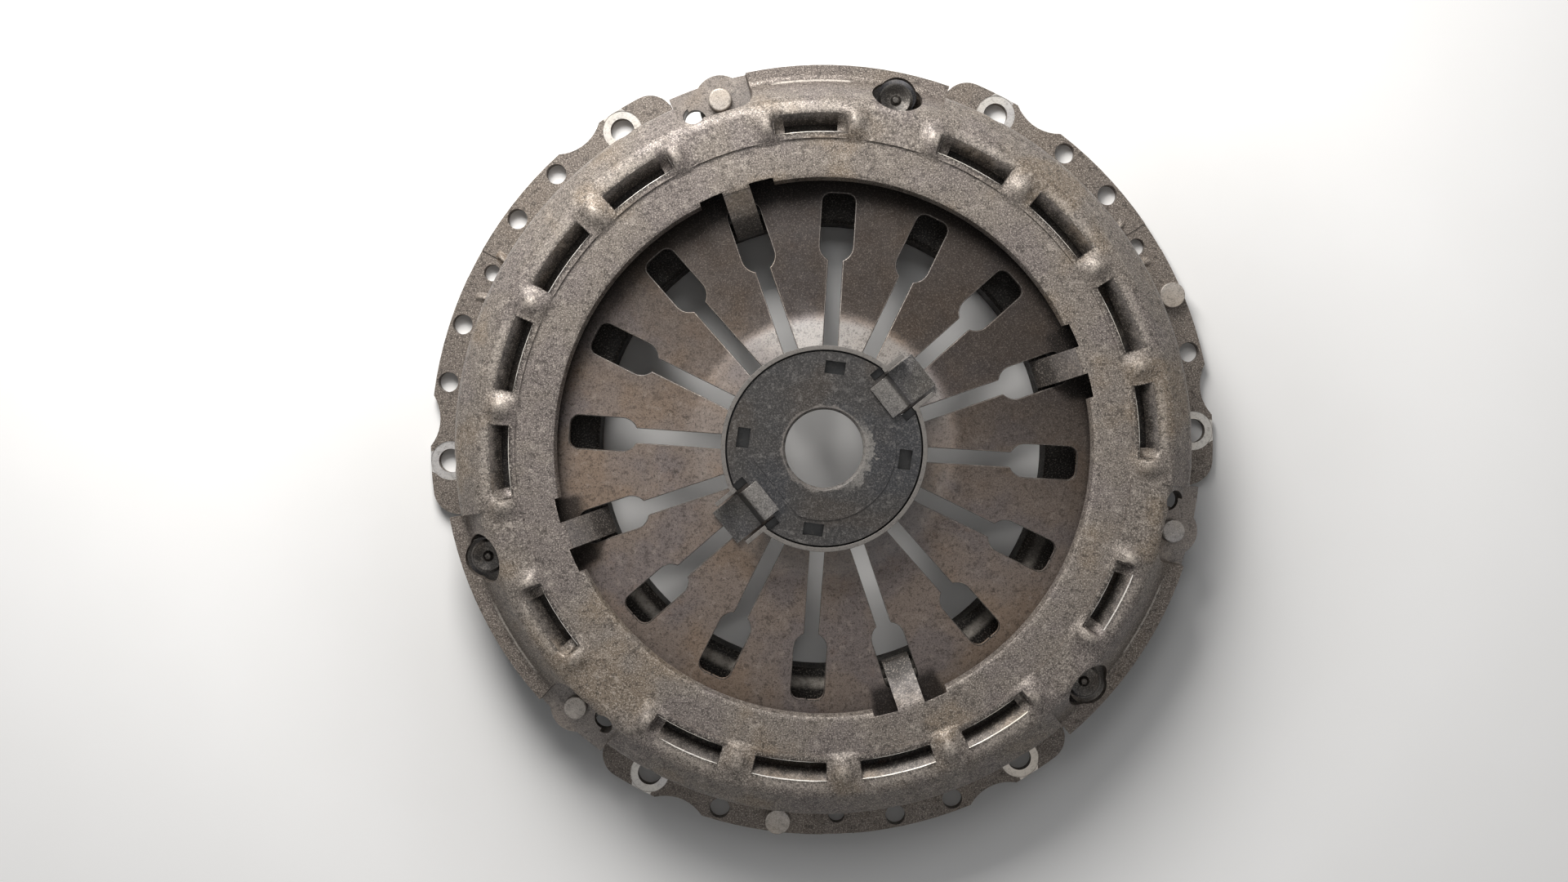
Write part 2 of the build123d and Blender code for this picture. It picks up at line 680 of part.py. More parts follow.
with BuildSketch() as keyhole:
    with Locations((keyhole_outer_radius, 0)):
        Rectangle(
            keyhole_outer_radius - keyhole_inner_radius - keyhole_width / 2,
            keyhole_width,
            align=(Align.MAX, Align.CENTER),
        )
    fillet(keyhole.vertices().group_by(Axis.X)[-1], radius=keyhole_corner)
    with Locations((keyhole_inner_radius + keyhole_width / 2, 0)):
        Circle(keyhole_width / 2)
    Rectangle(keyhole_inner_radius + 2, slot_width, align=(Align.MIN, Align.CENTER))

with BuildPart() as diaphragm_spring:
    with BuildSketch(radial_plane(0)):
        Polygon(*spring_lower, *spring_upper[::-1], align=None)
    revolve(axis=Axis.Z)
    for index in range(finger_count):
        with BuildSketch(level_plane(0, tab_angle + index * 360 / finger_count)):
            add(keyhole.sketch)
        extrude(amount=tall, mode=Mode.SUBTRACT)
diaphragm_spring.part.label = "diaphragm_spring"
export_step(diaphragm_spring.part, "parts/diaphragm_spring.step")

# ---------------------------------------------------------------- sensor spring
with BuildPart() as sensor_spring:
    with BuildSketch(radial_plane(0)):
        Polygon(
            (sensor_outer_radius, sensor_rim_under),
            (sensor_outer_radius, sensor_rim_under + sensor_sheet),
            (sensor_tongue_radius, sensor_tongue_under + sensor_sheet),
            (sensor_tongue_radius, sensor_tongue_under),
            align=None,
        )
    revolve(axis=Axis.Z)
    with BuildSketch():
        Circle(sensor_rim_radius)
        for index in range(tab_count):
            with Locations(Location((0, 0, 0), (0, 0, tab_angle + index * 360 / tab_count))):
                Rectangle(
                    sensor_outer_radius,
                    sensor_tongue_width,
                    align=(Align.MIN, Align.CENTER),
                    mode=Mode.SUBTRACT,
                )
    extrude(amount=tall, mode=Mode.SUBTRACT)
sensor_spring.part.label = "sensor_spring"
export_step(sensor_spring.part, "parts/sensor_spring.step")

# ---------------------------------------------------------------- pressure plate
recess_floor = plate_top - strap_recess_depth
with BuildPart() as pressure_plate:
    with BuildSketch(radial_plane(0)):
        Polygon(
            (plate_inner_radius, friction_height),
            (plate_outer_radius, friction_height),
            (plate_outer_radius, plate_top - plate_edge),
            (plate_outer_radius - plate_edge, plate_top),
            (knife_radius + knife_width / 2, plate_top),
            (knife_radius + knife_width / 2, knife_top - 1),
            (knife_radius + knife_width / 4, knife_top),
            (knife_radius - knife_width / 4, knife_top),
            (knife_radius - knife_width / 2, knife_top - 1),
            (knife_radius - knife_width / 2, plate_top),
            (knife_radius - 2.5 * knife_width, plate_top),
            (knife_radius - 3 * knife_width, plate_top - plate_groove),
            (plate_inner_radius + 4.5 * knife_width, plate_top - plate_groove),
            (plate_inner_radius + 4 * knife_width, plate_top),
            (plate_inner_radius + plate_edge, plate_top),
            (plate_inner_radius, plate_top - plate_edge),
            align=None,
        )
    revolve(axis=Axis.Z)
    # Recess under each strap, and vents through the knife edge between them.
    for angle in thirds(strap_angle):
        with BuildSketch(level_plane(recess_floor, angle)):
            with Locations((lug_end.X - leaf_width / 2 - 1, 0)):
                Rectangle(
                    4 * leaf_width,
                    strap_span + 1.5 * leaf_width,
                    align=(Align.MIN, Align.CENTER),
                )
        extrude(amount=tall, mode=Mode.SUBTRACT)
    # The recess runs on under the end of each rivet pocket.
    for angle in thirds(strap_rivet_angle):
        with BuildSketch(level_plane(recess_floor, angle)):
            with Locations((pocket_inner_radius - pocket_wall - 1, 0)):
                Rectangle(4 * leaf_width, pocket_width, align=Align.MIN)
        extrude(amount=tall, mode=Mode.SUBTRACT)
    with BuildSketch(Plane.XY.offset(plate_top)):
        for angle in thirds(strap_angle):
            with Locations(Location((0, 0, 0), (0, 0, angle))):
                with Locations((knife_radius, 0)):
                    Rectangle(4 * knife_width, strap_span + leaf_width)
        for step in (-1, 0, 1):
            for angle in thirds(flange_angle + step * vent_pitch):
                with Locations(Location((0, 0, 0), (0, 0, angle))):
                    with Locations((knife_radius, 0)):
                        Rectangle(2 * knife_width, 3 * knife_width)
    extrude(amount=tall, mode=Mode.SUBTRACT)
    # Lugs that the straps pull on.
    for angle in thirds(lug_angle):
        with BuildSketch(level_plane(friction_height + lug_lift, angle)) as lug_plan:
            with Locations((knife_radius - knife_width, 0)):
                Rectangle(
                    lug_tip_radius - knife_radius + knife_width,
                    lug_width,
                    align=(Align.MIN, Align.CENTER),
                )
            fillet(lug_plan.vertices().sort_by(SortBy.DISTANCE)[2:], radius=lug_width / 2.6)
        extrude(amount=lug_top - friction_height - lug_lift)
    with BuildSketch():
        with PolarLocations(lug_circle_radius, sector_count, lug_angle):
            Circle(lug_rivet_radius + fit_gap)
    extrude(amount=tall, mode=Mode.SUBTRACT)
    with BuildSketch():
        with PolarLocations(lug_circle_radius, sector_count, lug_angle):
            Circle(lug_rivet_head_radius + 3 * fit_gap)
    extrude(amount=tail_top + fit_gap / 2, mode=Mode.SUBTRACT)
pressure_plate.part.label = "pressure_plate"
export_step(pressure_plate.part, "parts/pressure_plate.step")

# ---------------------------------------------------------------- thrust plate, its cup and clips
with BuildPart() as thrust_plate:
    with BuildSketch(Plane.XY.offset(disc_bottom)):
        Circle(cup_radius - cup_sheet - disc_gap)
    extrude(amount=disc_thickness)
    with BuildSketch(Plane.XY.offset(disc_top)):
        Circle(platform_radius)
        Rectangle(2 * platform_flat, 2 * platform_radius, rotation=clip_angles[0], mode=Mode.INTERSECT)
    extrude(amount=platform_rise)
    with BuildSketch(Plane.XY.offset(disc_bottom)):
        Circle(disc_bore_radius)
        for index in range(4):
            with Locations(Location((0, 0, 0), (0, 0, disc_hole_angle + 90 * index))):
                with Locations((disc_hole_radius, 0)):
                    Rectangle(disc_hole_width, disc_hole_length)
        for angle in clip_angles:
            with Locations(Location((0, 0, 0), (0, 0, angle))):
                with Locations((disc_notch_radius, 0)):
                    Rectangle(cup_radius, disc_notch_width, align=(Align.MIN, Align.CENTER))
    extrude(amount=tall, mode=Mode.SUBTRACT)
    bore_edges = thrust_plate.edges().filter_by(GeomType.CIRCLE).sort_by(SortBy.RADIUS)[:2]
    chamfer(bore_edges.sort_by(Axis.Z)[-1], bore_chamfer)
thrust_plate.part.label = "thrust_plate"
export_step(thrust_plate.part, "parts/thrust_plate.step")

clip_gap = clip_width / 2 + clip_side_gap
with BuildPart() as retainer_cup:
    with BuildSketch(Plane.XY.offset(cup_bottom)):
        Circle(cup_radius)
        Circle(cup_base_radius, mode=Mode.SUBTRACT)
    extrude(amount=cup_base)
    with BuildSketch(Plane.XY.offset(cup_bottom)):
        Circle(cup_radius)
        Circle(cup_radius - cup_sheet, mode=Mode.SUBTRACT)
        for angle in clip_angles:
            with Locations(Location((0, 0, 0), (0, 0, angle))):
                with Locations(
                    (cup_radius - 2 * cup_sheet, clip_gap),
                    (cup_radius - 2 * cup_sheet, -clip_gap - cup_sheet),
                ):
                    Rectangle(cup_flare + cup_sheet, cup_sheet, align=Align.MIN)
    extrude(amount=cup_rim_height)
    with BuildSketch(Plane.XY.offset(cup_bottom)):
        for angle in clip_angles:
            with Locations(Location((0, 0, 0), (0, 0, angle))):
                with Locations((disc_notch_radius, 0)):
                    Rectangle(cup_radius, 2 * clip_gap, align=(Align.MIN, Align.CENTER))
    extrude(amount=tall, mode=Mode.SUBTRACT)
retainer_cup.part.label = "retainer_cup"
export_step(retainer_cup.part, "parts/retainer_cup.step")

# Clip: it lies along a pair of fingers, turns up beside the cup and laps its lip over the plate.
finger_rise = clip_sheet / 2 + 2 * fit_gap


def finger_top(radius):
    """Height of the fingers' upper face inside their bend."""
    return crown_under + spring_sheet - (radius - finger_crown_radius) * bend_slope


clip_path = (
    (clip_outer_radius, finger_top(clip_outer_radius) + finger_rise),
    (cup_radius - clip_crease, finger_top(cup_radius - clip_crease) + finger_rise),
    (cup_radius - clip_crest[0], disc_top + clip_crest[1]),
    (clip_lip_radius, disc_top + clip_lip_gap + clip_sheet / 2),
)
for number, angle in enumerate(clip_angles, start=1):
    with BuildPart() as spring_clip:
        with BuildSketch(radial_plane(angle)):
            with BuildLine():
                FilletPolyline(*clip_path, radius=clip_bends)
            trace(line_width=clip_sheet)
        extrude(amount=clip_width / 2, both=True)
        with BuildSketch(level_plane(0, angle)) as clip_plan:
            with Locations((clip_outer_radius - clip_sheet, 0)):
                Rectangle(clip_outer_radius, clip_lip_width, align=(Align.MAX, Align.CENTER))
            with Locations((cup_radius - clip_crease, 0)):
                Rectangle(clip_outer_radius, clip_width, align=(Align.MIN, Align.CENTER))
        extrude(amount=tall, mode=Mode.INTERSECT)
    spring_clip.part.label = f"spring_clip_{number}"
    export_step(spring_clip.part, f"parts/spring_clip_{number}.step")
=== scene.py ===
"""Looks of a self-adjusting clutch cover assembly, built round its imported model.

Every sub-assembly is a class with its sizes in millimetres and methods that build and dress its pieces.
Every finish is a class that makes one procedural material.
"""
import json
import logging
import math
from dataclasses import dataclass
from enum import Enum, IntEnum
from typing import Callable, Iterable, Optional

import bmesh
import bpy
from mathutils import Matrix, Vector
from mathutils.bvhtree import BVHTree

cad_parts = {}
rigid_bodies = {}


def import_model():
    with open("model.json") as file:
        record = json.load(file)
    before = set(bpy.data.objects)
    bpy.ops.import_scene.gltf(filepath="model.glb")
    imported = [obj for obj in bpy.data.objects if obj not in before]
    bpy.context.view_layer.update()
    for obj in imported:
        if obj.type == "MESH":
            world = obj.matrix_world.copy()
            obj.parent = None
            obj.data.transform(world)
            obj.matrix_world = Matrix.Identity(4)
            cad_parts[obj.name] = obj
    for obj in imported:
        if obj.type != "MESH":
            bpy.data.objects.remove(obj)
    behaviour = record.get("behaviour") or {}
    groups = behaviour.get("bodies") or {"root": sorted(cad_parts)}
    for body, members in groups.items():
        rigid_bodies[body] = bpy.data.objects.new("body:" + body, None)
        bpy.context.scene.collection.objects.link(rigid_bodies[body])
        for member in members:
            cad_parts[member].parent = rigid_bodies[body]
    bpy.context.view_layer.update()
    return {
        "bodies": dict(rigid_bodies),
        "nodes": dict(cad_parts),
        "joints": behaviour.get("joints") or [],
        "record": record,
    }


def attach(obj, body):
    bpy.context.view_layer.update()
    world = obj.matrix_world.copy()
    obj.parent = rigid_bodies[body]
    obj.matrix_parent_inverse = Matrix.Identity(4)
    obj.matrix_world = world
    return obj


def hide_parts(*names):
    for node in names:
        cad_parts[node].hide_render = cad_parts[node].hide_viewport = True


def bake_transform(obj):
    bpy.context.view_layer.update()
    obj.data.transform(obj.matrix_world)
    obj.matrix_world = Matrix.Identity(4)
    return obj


LOG = logging.getLogger("clutch_cover")
MM = 0.001
DEGREES = 180 / math.pi
SECTORS = 3  # the cover repeats itself three times round
SECTOR = 360.0 / SECTORS  # in degrees
UP = Vector((0, 0, 1))

Colour = tuple[float, float, float]
Shade = tuple[int, int, int]
Zone = tuple[float, float, Shade, float]
Socket = bpy.types.NodeSocket
Mesh = bmesh.types.BMesh
Face = bmesh.types.BMFace
Edge = bmesh.types.BMEdge
Piece = bpy.types.Object

FRAME: dict = {}
FINISHES: dict[str, bpy.types.Material] = {}


class Body(str, Enum):
    """Bodies of the model that pieces ride on."""

    COVER = "cover"
    PLATE = "pressure_plate"
    RELEASE = "release_plate"
    COILS = "ring_springs"
    RING = "adjuster_ring"


def tone(red: int, green: int, blue: int) -> Colour:
    """Turn a display colour of 0 to 255 into a linear one."""
    return tuple(((v / 255 + 0.055) / 1.055) ** 2.4 if v > 10 else v / 3294.6 for v in (red, green, blue))


class NodeBench:
    """Short way of adding and joining the nodes of one material."""

    def __init__(self, name: str) -> None:
        """Start a material with an empty node tree.

        Args:
            name: Name of the material.
        """
        self.material = bpy.data.materials.new(name)
        self.material.use_nodes = True
        self.tree = self.material.node_tree
        self.tree.nodes.clear()
        self.shader = self.add("ShaderNodeBsdfPrincipled")
        output = self.add("ShaderNodeOutputMaterial")
        self.tree.links.new(self.shader.outputs["BSDF"], output.inputs["Surface"])
        self.place = self.add("ShaderNodeTexCoord").outputs["Object"]

    def add(self, kind: str, **values: object) -> bpy.types.Node:
        """Add a node and set its properties."""
        node = self.tree.nodes.new(kind)
        for key, value in values.items():
            setattr(node, key, value)
        return node

    def wire(self, source: object, socket: Socket) -> None:
        """Link an output to a socket, or set the socket where the source is a plain value."""
        if isinstance(source, Socket):
            self.tree.links.new(source, socket)
        elif isinstance(source, tuple) and len(source) == 3:
            socket.default_value = (*source, 1.0)
        else:
            socket.default_value = source

    def noise(self, size: float, detail: float = 3.0, rough: float = 0.55, seed: float = 0.0) -> Socket:
        """Noise whose spots are a given size.

        Args:
            size: Width of a spot in millimetres.
            detail: Octaves of finer noise.
            rough: Strength of the finer octaves.
            seed: Offset that sets this noise apart from others.

        Returns:
            The factor output.
        """
        mapping = self.add("ShaderNodeMapping")
        mapping.inputs["Location"].default_value = (seed, seed * 0.37, -seed * 0.61)
        self.tree.links.new(self.place, mapping.inputs["Vector"])
        node = self.add("ShaderNodeTexNoise")
        self.tree.links.new(mapping.outputs["Vector"], node.inputs["Vector"])
        node.inputs["Scale"].default_value = 1.0 / (size * MM)
        node.inputs["Detail"].default_value = detail
        node.inputs["Roughness"].default_value = rough
        return node.outputs["Fac"]

    def cells(self, size: float, seed: float = 0.0) -> Socket:
        """Distance to the nearest of scattered points, for pits and specks of a given pitch."""
        mapping = self.add("ShaderNodeMapping")
        mapping.inputs["Location"].default_value = (seed, -seed, seed * 0.5)
        self.tree.links.new(self.place, mapping.inputs["Vector"])
        node = self.add("ShaderNodeTexVoronoi")
        self.tree.links.new(mapping.outputs["Vector"], node.inputs["Vector"])
        node.inputs["Scale"].default_value = 1.0 / (size * MM)
        return node.outputs["Distance"]

    def ramp(self, source: Socket, low: float, high: float, start: float = 0.0,
             end: float = 1.0) -> Socket:
        """Map a factor from low..high onto start..end, held at its ends."""
        node = self.add("ShaderNodeMapRange", clamp=True, interpolation_type="SMOOTHSTEP")
        self.tree.links.new(source, node.inputs["Value"])
        for key, value in (("From Min", low), ("From Max", high), ("To Min", start), ("To Max", end)):
            node.inputs[key].default_value = value
        return node.outputs["Result"]

    def mix(self, factor: object, first: object, second: object) -> Socket:
        """Mix two colours."""
        node = self.add("ShaderNodeMix", data_type="RGBA", blend_type="MIX")
        self.wire(factor, node.inputs[0])
        self.wire(first, node.inputs[6])
        self.wire(second, node.inputs[7])
        return node.outputs[2]

    def math(self, kind: str, first: object, second: object = 0.0) -> Socket:
        """Combine two numbers."""
        node = self.add("ShaderNodeMath", operation=kind)
        self.wire(first, node.inputs[0])
        self.wire(second, node.inputs[1])
        return node.outputs[0]

    def times(self, first: object, second: object) -> Socket:
        """Multiply two numbers."""
        return self.math("MULTIPLY", first, second)

    def off(self, source: Socket, centre: float) -> Socket:
        """Distance of a number from a plain value."""
        return self.math("ABSOLUTE", self.math("SUBTRACT", source, centre))

    def radius(self) -> Socket:
        """Distance from the clutch's axis, in metres."""
        flat = self.add("ShaderNodeVectorMath", operation="MULTIPLY")
        self.wire(self.place, flat.inputs[0])
        flat.inputs[1].default_value = (1.0, 1.0, 0.0)
        length = self.add("ShaderNodeVectorMath", operation="LENGTH")
        self.wire(flat.outputs["Vector"], length.inputs[0])
        return length.outputs["Value"]

    def axis(self, name: str) -> Socket:
        """Place along X, Y or Z, in metres."""
        split = self.add("ShaderNodeSeparateXYZ")
        self.wire(self.place, split.inputs[0])
        return split.outputs[name]

    def turn(self) -> Socket:
        """Angle round the clutch's axis from +X, in degrees."""
        return self.times(self.math("ARCTAN2", self.axis("Y"), self.axis("X")), DEGREES)

    def off_turn(self, turn: Socket, centre: float, pitch: float = SECTOR) -> Socket:
        """Angle to the nearest of places that repeat round the axis.

        Args:
            turn: Angle round the axis, in degrees.
            centre: Angle of one of the places.
            pitch: Angle between two places.

        Returns:
            The angle in degrees.
        """
        shifted = self.math("ADD", turn, 1.5 * pitch - centre)
        return self.off(self.math("FLOORED_MODULO", shifted, pitch), pitch / 2)

    def bump(self, source: Socket, depth: float, strength: float = 1.0,
             below: Optional[Socket] = None) -> Socket:
        """Turn a factor into relief.

        Args:
            source: Height factor.
            depth: Relief of a whole factor, in millimetres.
            strength: Share of that relief that shows.
            below: Relief under this one.

        Returns:
            The normal output.
        """
        node = self.add("ShaderNodeBump")
        node.inputs["Strength"].default_value = strength
        node.inputs["Distance"].default_value = depth * MM
        self.tree.links.new(source, node.inputs["Height"])
        if below is not None:
            self.tree.links.new(below, node.inputs["Normal"])
        return node.outputs["Normal"]


@dataclass(frozen=True)
class WornSteel:
    """Used, handled steel: broad tints, mottling, a sparkling grain, pits and a greasy roughness.

    Colours are display colours of 0 to 255, sizes are millimetres and shares run from 0 to 1. Each ring is
    a start radius, an end radius, a colour and its share there; each band a centre, a half width, a colour
    and a share; each level a start height, an end height, a colour and a share. A polish is the radius
    where it starts, the one where it is full, and its roughness.
    """

    name: str
    base: Shade
    warm: Shade
    cool: Shade
    light: Shade = (178, 170, 160)
    dark: Shade = (48, 43, 38)
    metallic: float = 0.35
    roughness: tuple[float, float] = (0.42, 0.62)
    tint_size: float = 24.0
    mottle_size: float = 3.2
    grain_size: float = 0.5
    light_share: float = 0.30
    dark_share: float = 0.34
    mottle_share: float = 0.42
    rust: float = 0.0
    rust_colour: Shade = (104, 66, 44)
    pits: float = 0.25
    relief: float = 0.05
    seed: float = 0.0
    rings: tuple[Zone, ...] = ()
    bands: tuple[Zone, ...] = ()
    levels: tuple[Zone, ...] = ()
    brushed: float = 0.0
    lathe_scale: float = 1400.0
    lathe_waver: float = 0.6
    polish: Optional[tuple[float, float, float]] = None
    specular: float = 0.5

    def colour(self, bench: NodeBench) -> Socket:
        """Build the colour: tints, mottling, rust, grain, then shading that follows the radius."""
        tint = bench.noise(self.tint_size, 2.0, 0.5, self.seed)
        shade = bench.mix(bench.ramp(tint, 0.38, 0.50), tone(*self.cool), tone(*self.base))
        shade = bench.mix(bench.ramp(tint, 0.52, 0.66), shade, tone(*self.warm))
        mottle = bench.noise(self.mottle_size, 5.0, 0.62, self.seed + 3.1)
        deep = bench.mix(0.5, shade, tone(*self.dark))
        shade = bench.mix(bench.ramp(mottle, 0.44, 0.30, 0.0, self.mottle_share), shade, deep)
        pale = bench.mix(0.5, shade, tone(*self.light))
        shade = bench.mix(bench.ramp(mottle, 0.54, 0.70, 0.0, self.mottle_share), shade, pale)
        if self.rust:
            patch = bench.noise(self.tint_size * 0.45, 6.0, 0.68, self.seed + 7.7)
            shade = bench.mix(bench.ramp(patch, 0.55, 0.68, 0.0, self.rust), shade, tone(*self.rust_colour))
        for start, end, colour, share in self.rings:
            ragged = self.ragged(bench, bench.radius(), mottle)
            shade = bench.mix(bench.ramp(ragged, start * MM, end * MM, 0.0, share), shade, tone(*colour))
        for centre, half, colour, share in self.bands:
            ragged = self.ragged(bench, bench.off(bench.radius(), centre * MM), mottle)
            shade = bench.mix(bench.ramp(ragged, half * MM, half * 0.3 * MM, 0.0, share), shade, tone(*colour))
        for start, end, colour, share in self.levels:
            shade = bench.mix(bench.ramp(bench.axis("Z"), start * MM, end * MM, 0.0, share), shade, tone(*colour))
        shade = self.dress(bench, shade, mottle)
        grain = bench.noise(self.grain_size, 3.0, 0.75, self.seed + 1.3)
        shade = bench.mix(bench.ramp(grain, 0.53, 0.63, 0.0, self.light_share), shade, tone(*self.light))
        shade = bench.mix(bench.ramp(grain, 0.47, 0.37, 0.0, self.dark_share), shade, tone(*self.dark))
        blotch = bench.noise(self.grain_size * 3.2, 4.0, 0.7, self.seed + 9.4)
        shade = bench.mix(bench.ramp(blotch, 0.46, 0.38, 0.0, self.dark_share * 0.8), shade, tone(*self.dark))
        specks = bench.cells(self.grain_size * 6, self.seed)
        return bench.mix(bench.ramp(specks, 0.13, 0.05, 0.0, self.pits), shade, tone(*self.dark))

    def ragged(self, bench: NodeBench, distance: Socket, mottle: Socket, reach: float = 0.006) -> Socket:
        """Let the mottling fray the edge of a zone, by half the reach in metres either way."""
        return bench.math("ADD", distance, bench.times(bench.math("SUBTRACT", mottle, 0.5), reach))

    def dress(self, bench: NodeBench, shade: Socket, mottle: Socket) -> Socket:
        """Add colour that only this finish has, under the grain."""
        return shade

    def build(self) -> bpy.types.Material:
        """Make the material.

        Returns:
            The new material.
        """
        bench = NodeBench(self.name)
        bench.wire(self.colour(bench), bench.shader.inputs["Base Color"])
        bench.shader.inputs["Metallic"].default_value = self.metallic
        bench.shader.inputs["Specular IOR Level"].default_value = self.specular
        smear = bench.noise(self.mottle_size * 2.2, 4.0, 0.6, self.seed + 5.0)
        rough = bench.ramp(smear, 0.3, 0.7, *self.roughness)
        if self.polish:
            start, end, smooth = self.polish
            gloss = bench.ramp(bench.radius(), start * MM, end * MM)
            kept = bench.times(rough, bench.math("SUBTRACT", 1.0, gloss))
            rough = bench.math("ADD", kept, bench.times(gloss, smooth))
            shine = bench.ramp(bench.radius(), start * MM, end * MM, self.specular, 0.4)
            bench.wire(shine, bench.shader.inputs["Specular IOR Level"])
        bench.wire(rough, bench.shader.inputs["Roughness"])
        waves = bench.noise(self.mottle_size, 5.0, 0.6, self.seed + 3.1)
        under = bench.bump(waves, self.relief * 3.0, 0.6)
        grain = bench.noise(self.grain_size, 3.0, 0.75, self.seed + 1.3)
        normal = bench.bump(grain, self.relief, 0.7, under)
        if self.brushed:
            lathe = bench.add("ShaderNodeTexWave", wave_type="RINGS", rings_direction="Z", wave_profile="SAW")
            bench.wire(bench.place, lathe.inputs["Vector"])
            lathe.inputs["Scale"].default_value = self.lathe_scale
            lathe.inputs["Distortion"].default_value = self.lathe_waver
            normal = bench.bump(lathe.outputs["Fac"], self.brushed, 0.5, normal)
        bench.wire(normal, bench.shader.inputs["Normal"])
        return bench.material


@dataclass(frozen=True)
class PressedRidge(WornSteel):
    """Cover steel whose windowed ridge has a painted highlight along its crest and painted shade round the windows."""

    windows: tuple[float, ...] = (4.5, 23.7, 42.9, 62.1, 92.0)
    window_half: float = 6.5
    window_middle: float = 110.4
    crest_radius: float = 115.6
    crest_half: float = 2.6
    scrape_radius: float = 127.0
    scrape_angle: float = 91.5
    scrape_half: float = 6.8

    def gap(self, bench: NodeBench) -> Socket:
        """Angle to the nearest window's middle, in degrees."""
        turn = bench.turn()
        nearest = bench.off_turn(turn, self.windows[0])
        for window in self.windows[1:]:
            nearest = bench.math("MINIMUM", nearest, bench.off_turn(turn, window))
        return nearest

    def crest(self, bench: NodeBench) -> Socket:
        """Factor of 1 on the crest outside the windows."""
        beside = bench.ramp(self.gap(bench), self.window_half + 1.0, self.window_half - 3.0)
        off = bench.off(bench.radius(), self.crest_radius * MM)
        return bench.times(beside, bench.ramp(off, self.crest_half * MM, 0.0))

    def window_shade(self, bench: NodeBench) -> Socket:
        """Factor of 1 in the painted shade round each window."""
        end = bench.ramp(self.gap(bench), self.window_half + 1.3, self.window_half - 0.2)
        off = bench.off(bench.radius(), self.window_middle * MM)
        return bench.times(end, bench.ramp(off, 5.2 * MM, 3.2 * MM))

    def scrape(self, bench: NodeBench) -> Socket:
        """Factor of 1 on the bright scrape along the foot of each flange sector's shoulder."""
        off = bench.off_turn(bench.turn(), self.scrape_angle)
        along = bench.ramp(off, self.scrape_half, self.scrape_half - 1.5)
        out = bench.off(bench.radius(), self.scrape_radius * MM)
        return bench.times(along, bench.ramp(out, 0.6 * MM, 0.2 * MM))

    def dress(self, bench: NodeBench, shade: Socket, mottle: Socket) -> Socket:
        """Lay painted shade round the windows and a painted highlight on the crest outside them."""
        # painted shade round the windows
        shade = bench.mix(bench.times(self.window_shade(bench), 0.8), shade, tone(38, 33, 30))
        shade = bench.mix(bench.times(self.scrape(bench), 0.7), shade, tone(208, 200, 190))
        # painted highlight along the crest beside the windows
        return bench.mix(bench.times(self.crest(bench), 0.35), shade, tone(176, 167, 157))


@dataclass(frozen=True)
class HighlitDome(WornSteel):
    """Cover steel with a painted highlight above a level."""

    highlit_above: float = 38.9

    def dress(self, bench: NodeBench, shade: Socket, mottle: Socket) -> Socket:
        """Paint a highlight on what stands highest."""
        high = bench.ramp(bench.axis("Z"), self.highlit_above * MM, (self.highlit_above + 1.6) * MM)
        return bench.mix(bench.times(high, bench.ramp(mottle, 0.34, 0.6, 0.25, 0.7)), shade, tone(186, 176, 165))


@dataclass(frozen=True)
class ScoredDisc(WornSteel):
    """Thrust plate scored by the release bearing down one side of its bore."""

    scored_angle: float = -12.0
    scored_half: float = 62.0
    scored_radius: float = 17.2

    def dress(self, bench: NodeBench, shade: Socket, mottle: Socket) -> Socket:
        """Lay the pale, ragged crescent beside the bore."""
        along = bench.ramp(bench.off(bench.turn(), self.scored_angle), self.scored_half, self.scored_half * 0.4)
        frayed = self.ragged(bench, bench.radius(), mottle, 0.012)
        near = bench.ramp(frayed, self.scored_radius * MM, (self.scored_radius - 1.0) * MM)
        return bench.mix(bench.times(bench.times(along, near), 0.6), shade, tone(134, 130, 125))


@dataclass(frozen=True)
class FingerSteel(WornSteel):
    """Finger steel with painted shade on its upper side and painted shadow under the cover's rim and hooked tabs."""

    tab_angle: float = 18.5
    tab_pitch: float = 90.0
    tab_half: float = 8.6
    slant: float = 0.35
    painted_shadow: Shade = (14, 12, 11)

    def dress(self, bench: NodeBench, shade: Socket, mottle: Socket) -> Socket:
        """Lay the painted shade on the upper side, the painted sheen on the ring round the thrust plate, and the
        painted shadow by the rim and the tabs.

        The ramps below run along Y, or along Y leant over by the slant, and along the radius, in metres.
        """
        radius, up = bench.radius(), bench.axis("Y")
        leant = bench.math("ADD", up, bench.times(bench.axis("X"), self.slant))
        under = bench.off_turn(bench.turn(), self.tab_angle, self.tab_pitch)
        for along, out, colour in (
            # painted shade, darker towards the upper side, outside the thrust plate's ring
            (bench.ramp(leant, -0.04, 0.06, 0.0, 0.84), (0.0435, 0.0475), (30, 26, 24)),
            # painted sheen round the thrust plate, strongest on the upper side; the ring is also polished
            (bench.ramp(leant, 0.018, 0.036, 0.05, 0.66), (0.0455, 0.042), (150, 147, 143)),
            # painted shadow under the cover's rim, strongest on the upper side
            (bench.ramp(up, -0.05, 0.02, 0.25, 0.92), (0.09, 0.094), self.painted_shadow),
            # painted shadow of the rim over the top fingers
            (bench.ramp(up, 0.05, 0.09, 0.0, 0.7), (0.078, 0.092), (16, 14, 13)),
            # painted shadow beside the hooked tabs
            (bench.ramp(under, self.tab_half, self.tab_half - 1.6, 0.0, 0.82), (0.083, 0.088), self.painted_shadow),
        ):
            shade = bench.mix(bench.times(along, bench.ramp(radius, *out)), shade, tone(*colour))
        return shade


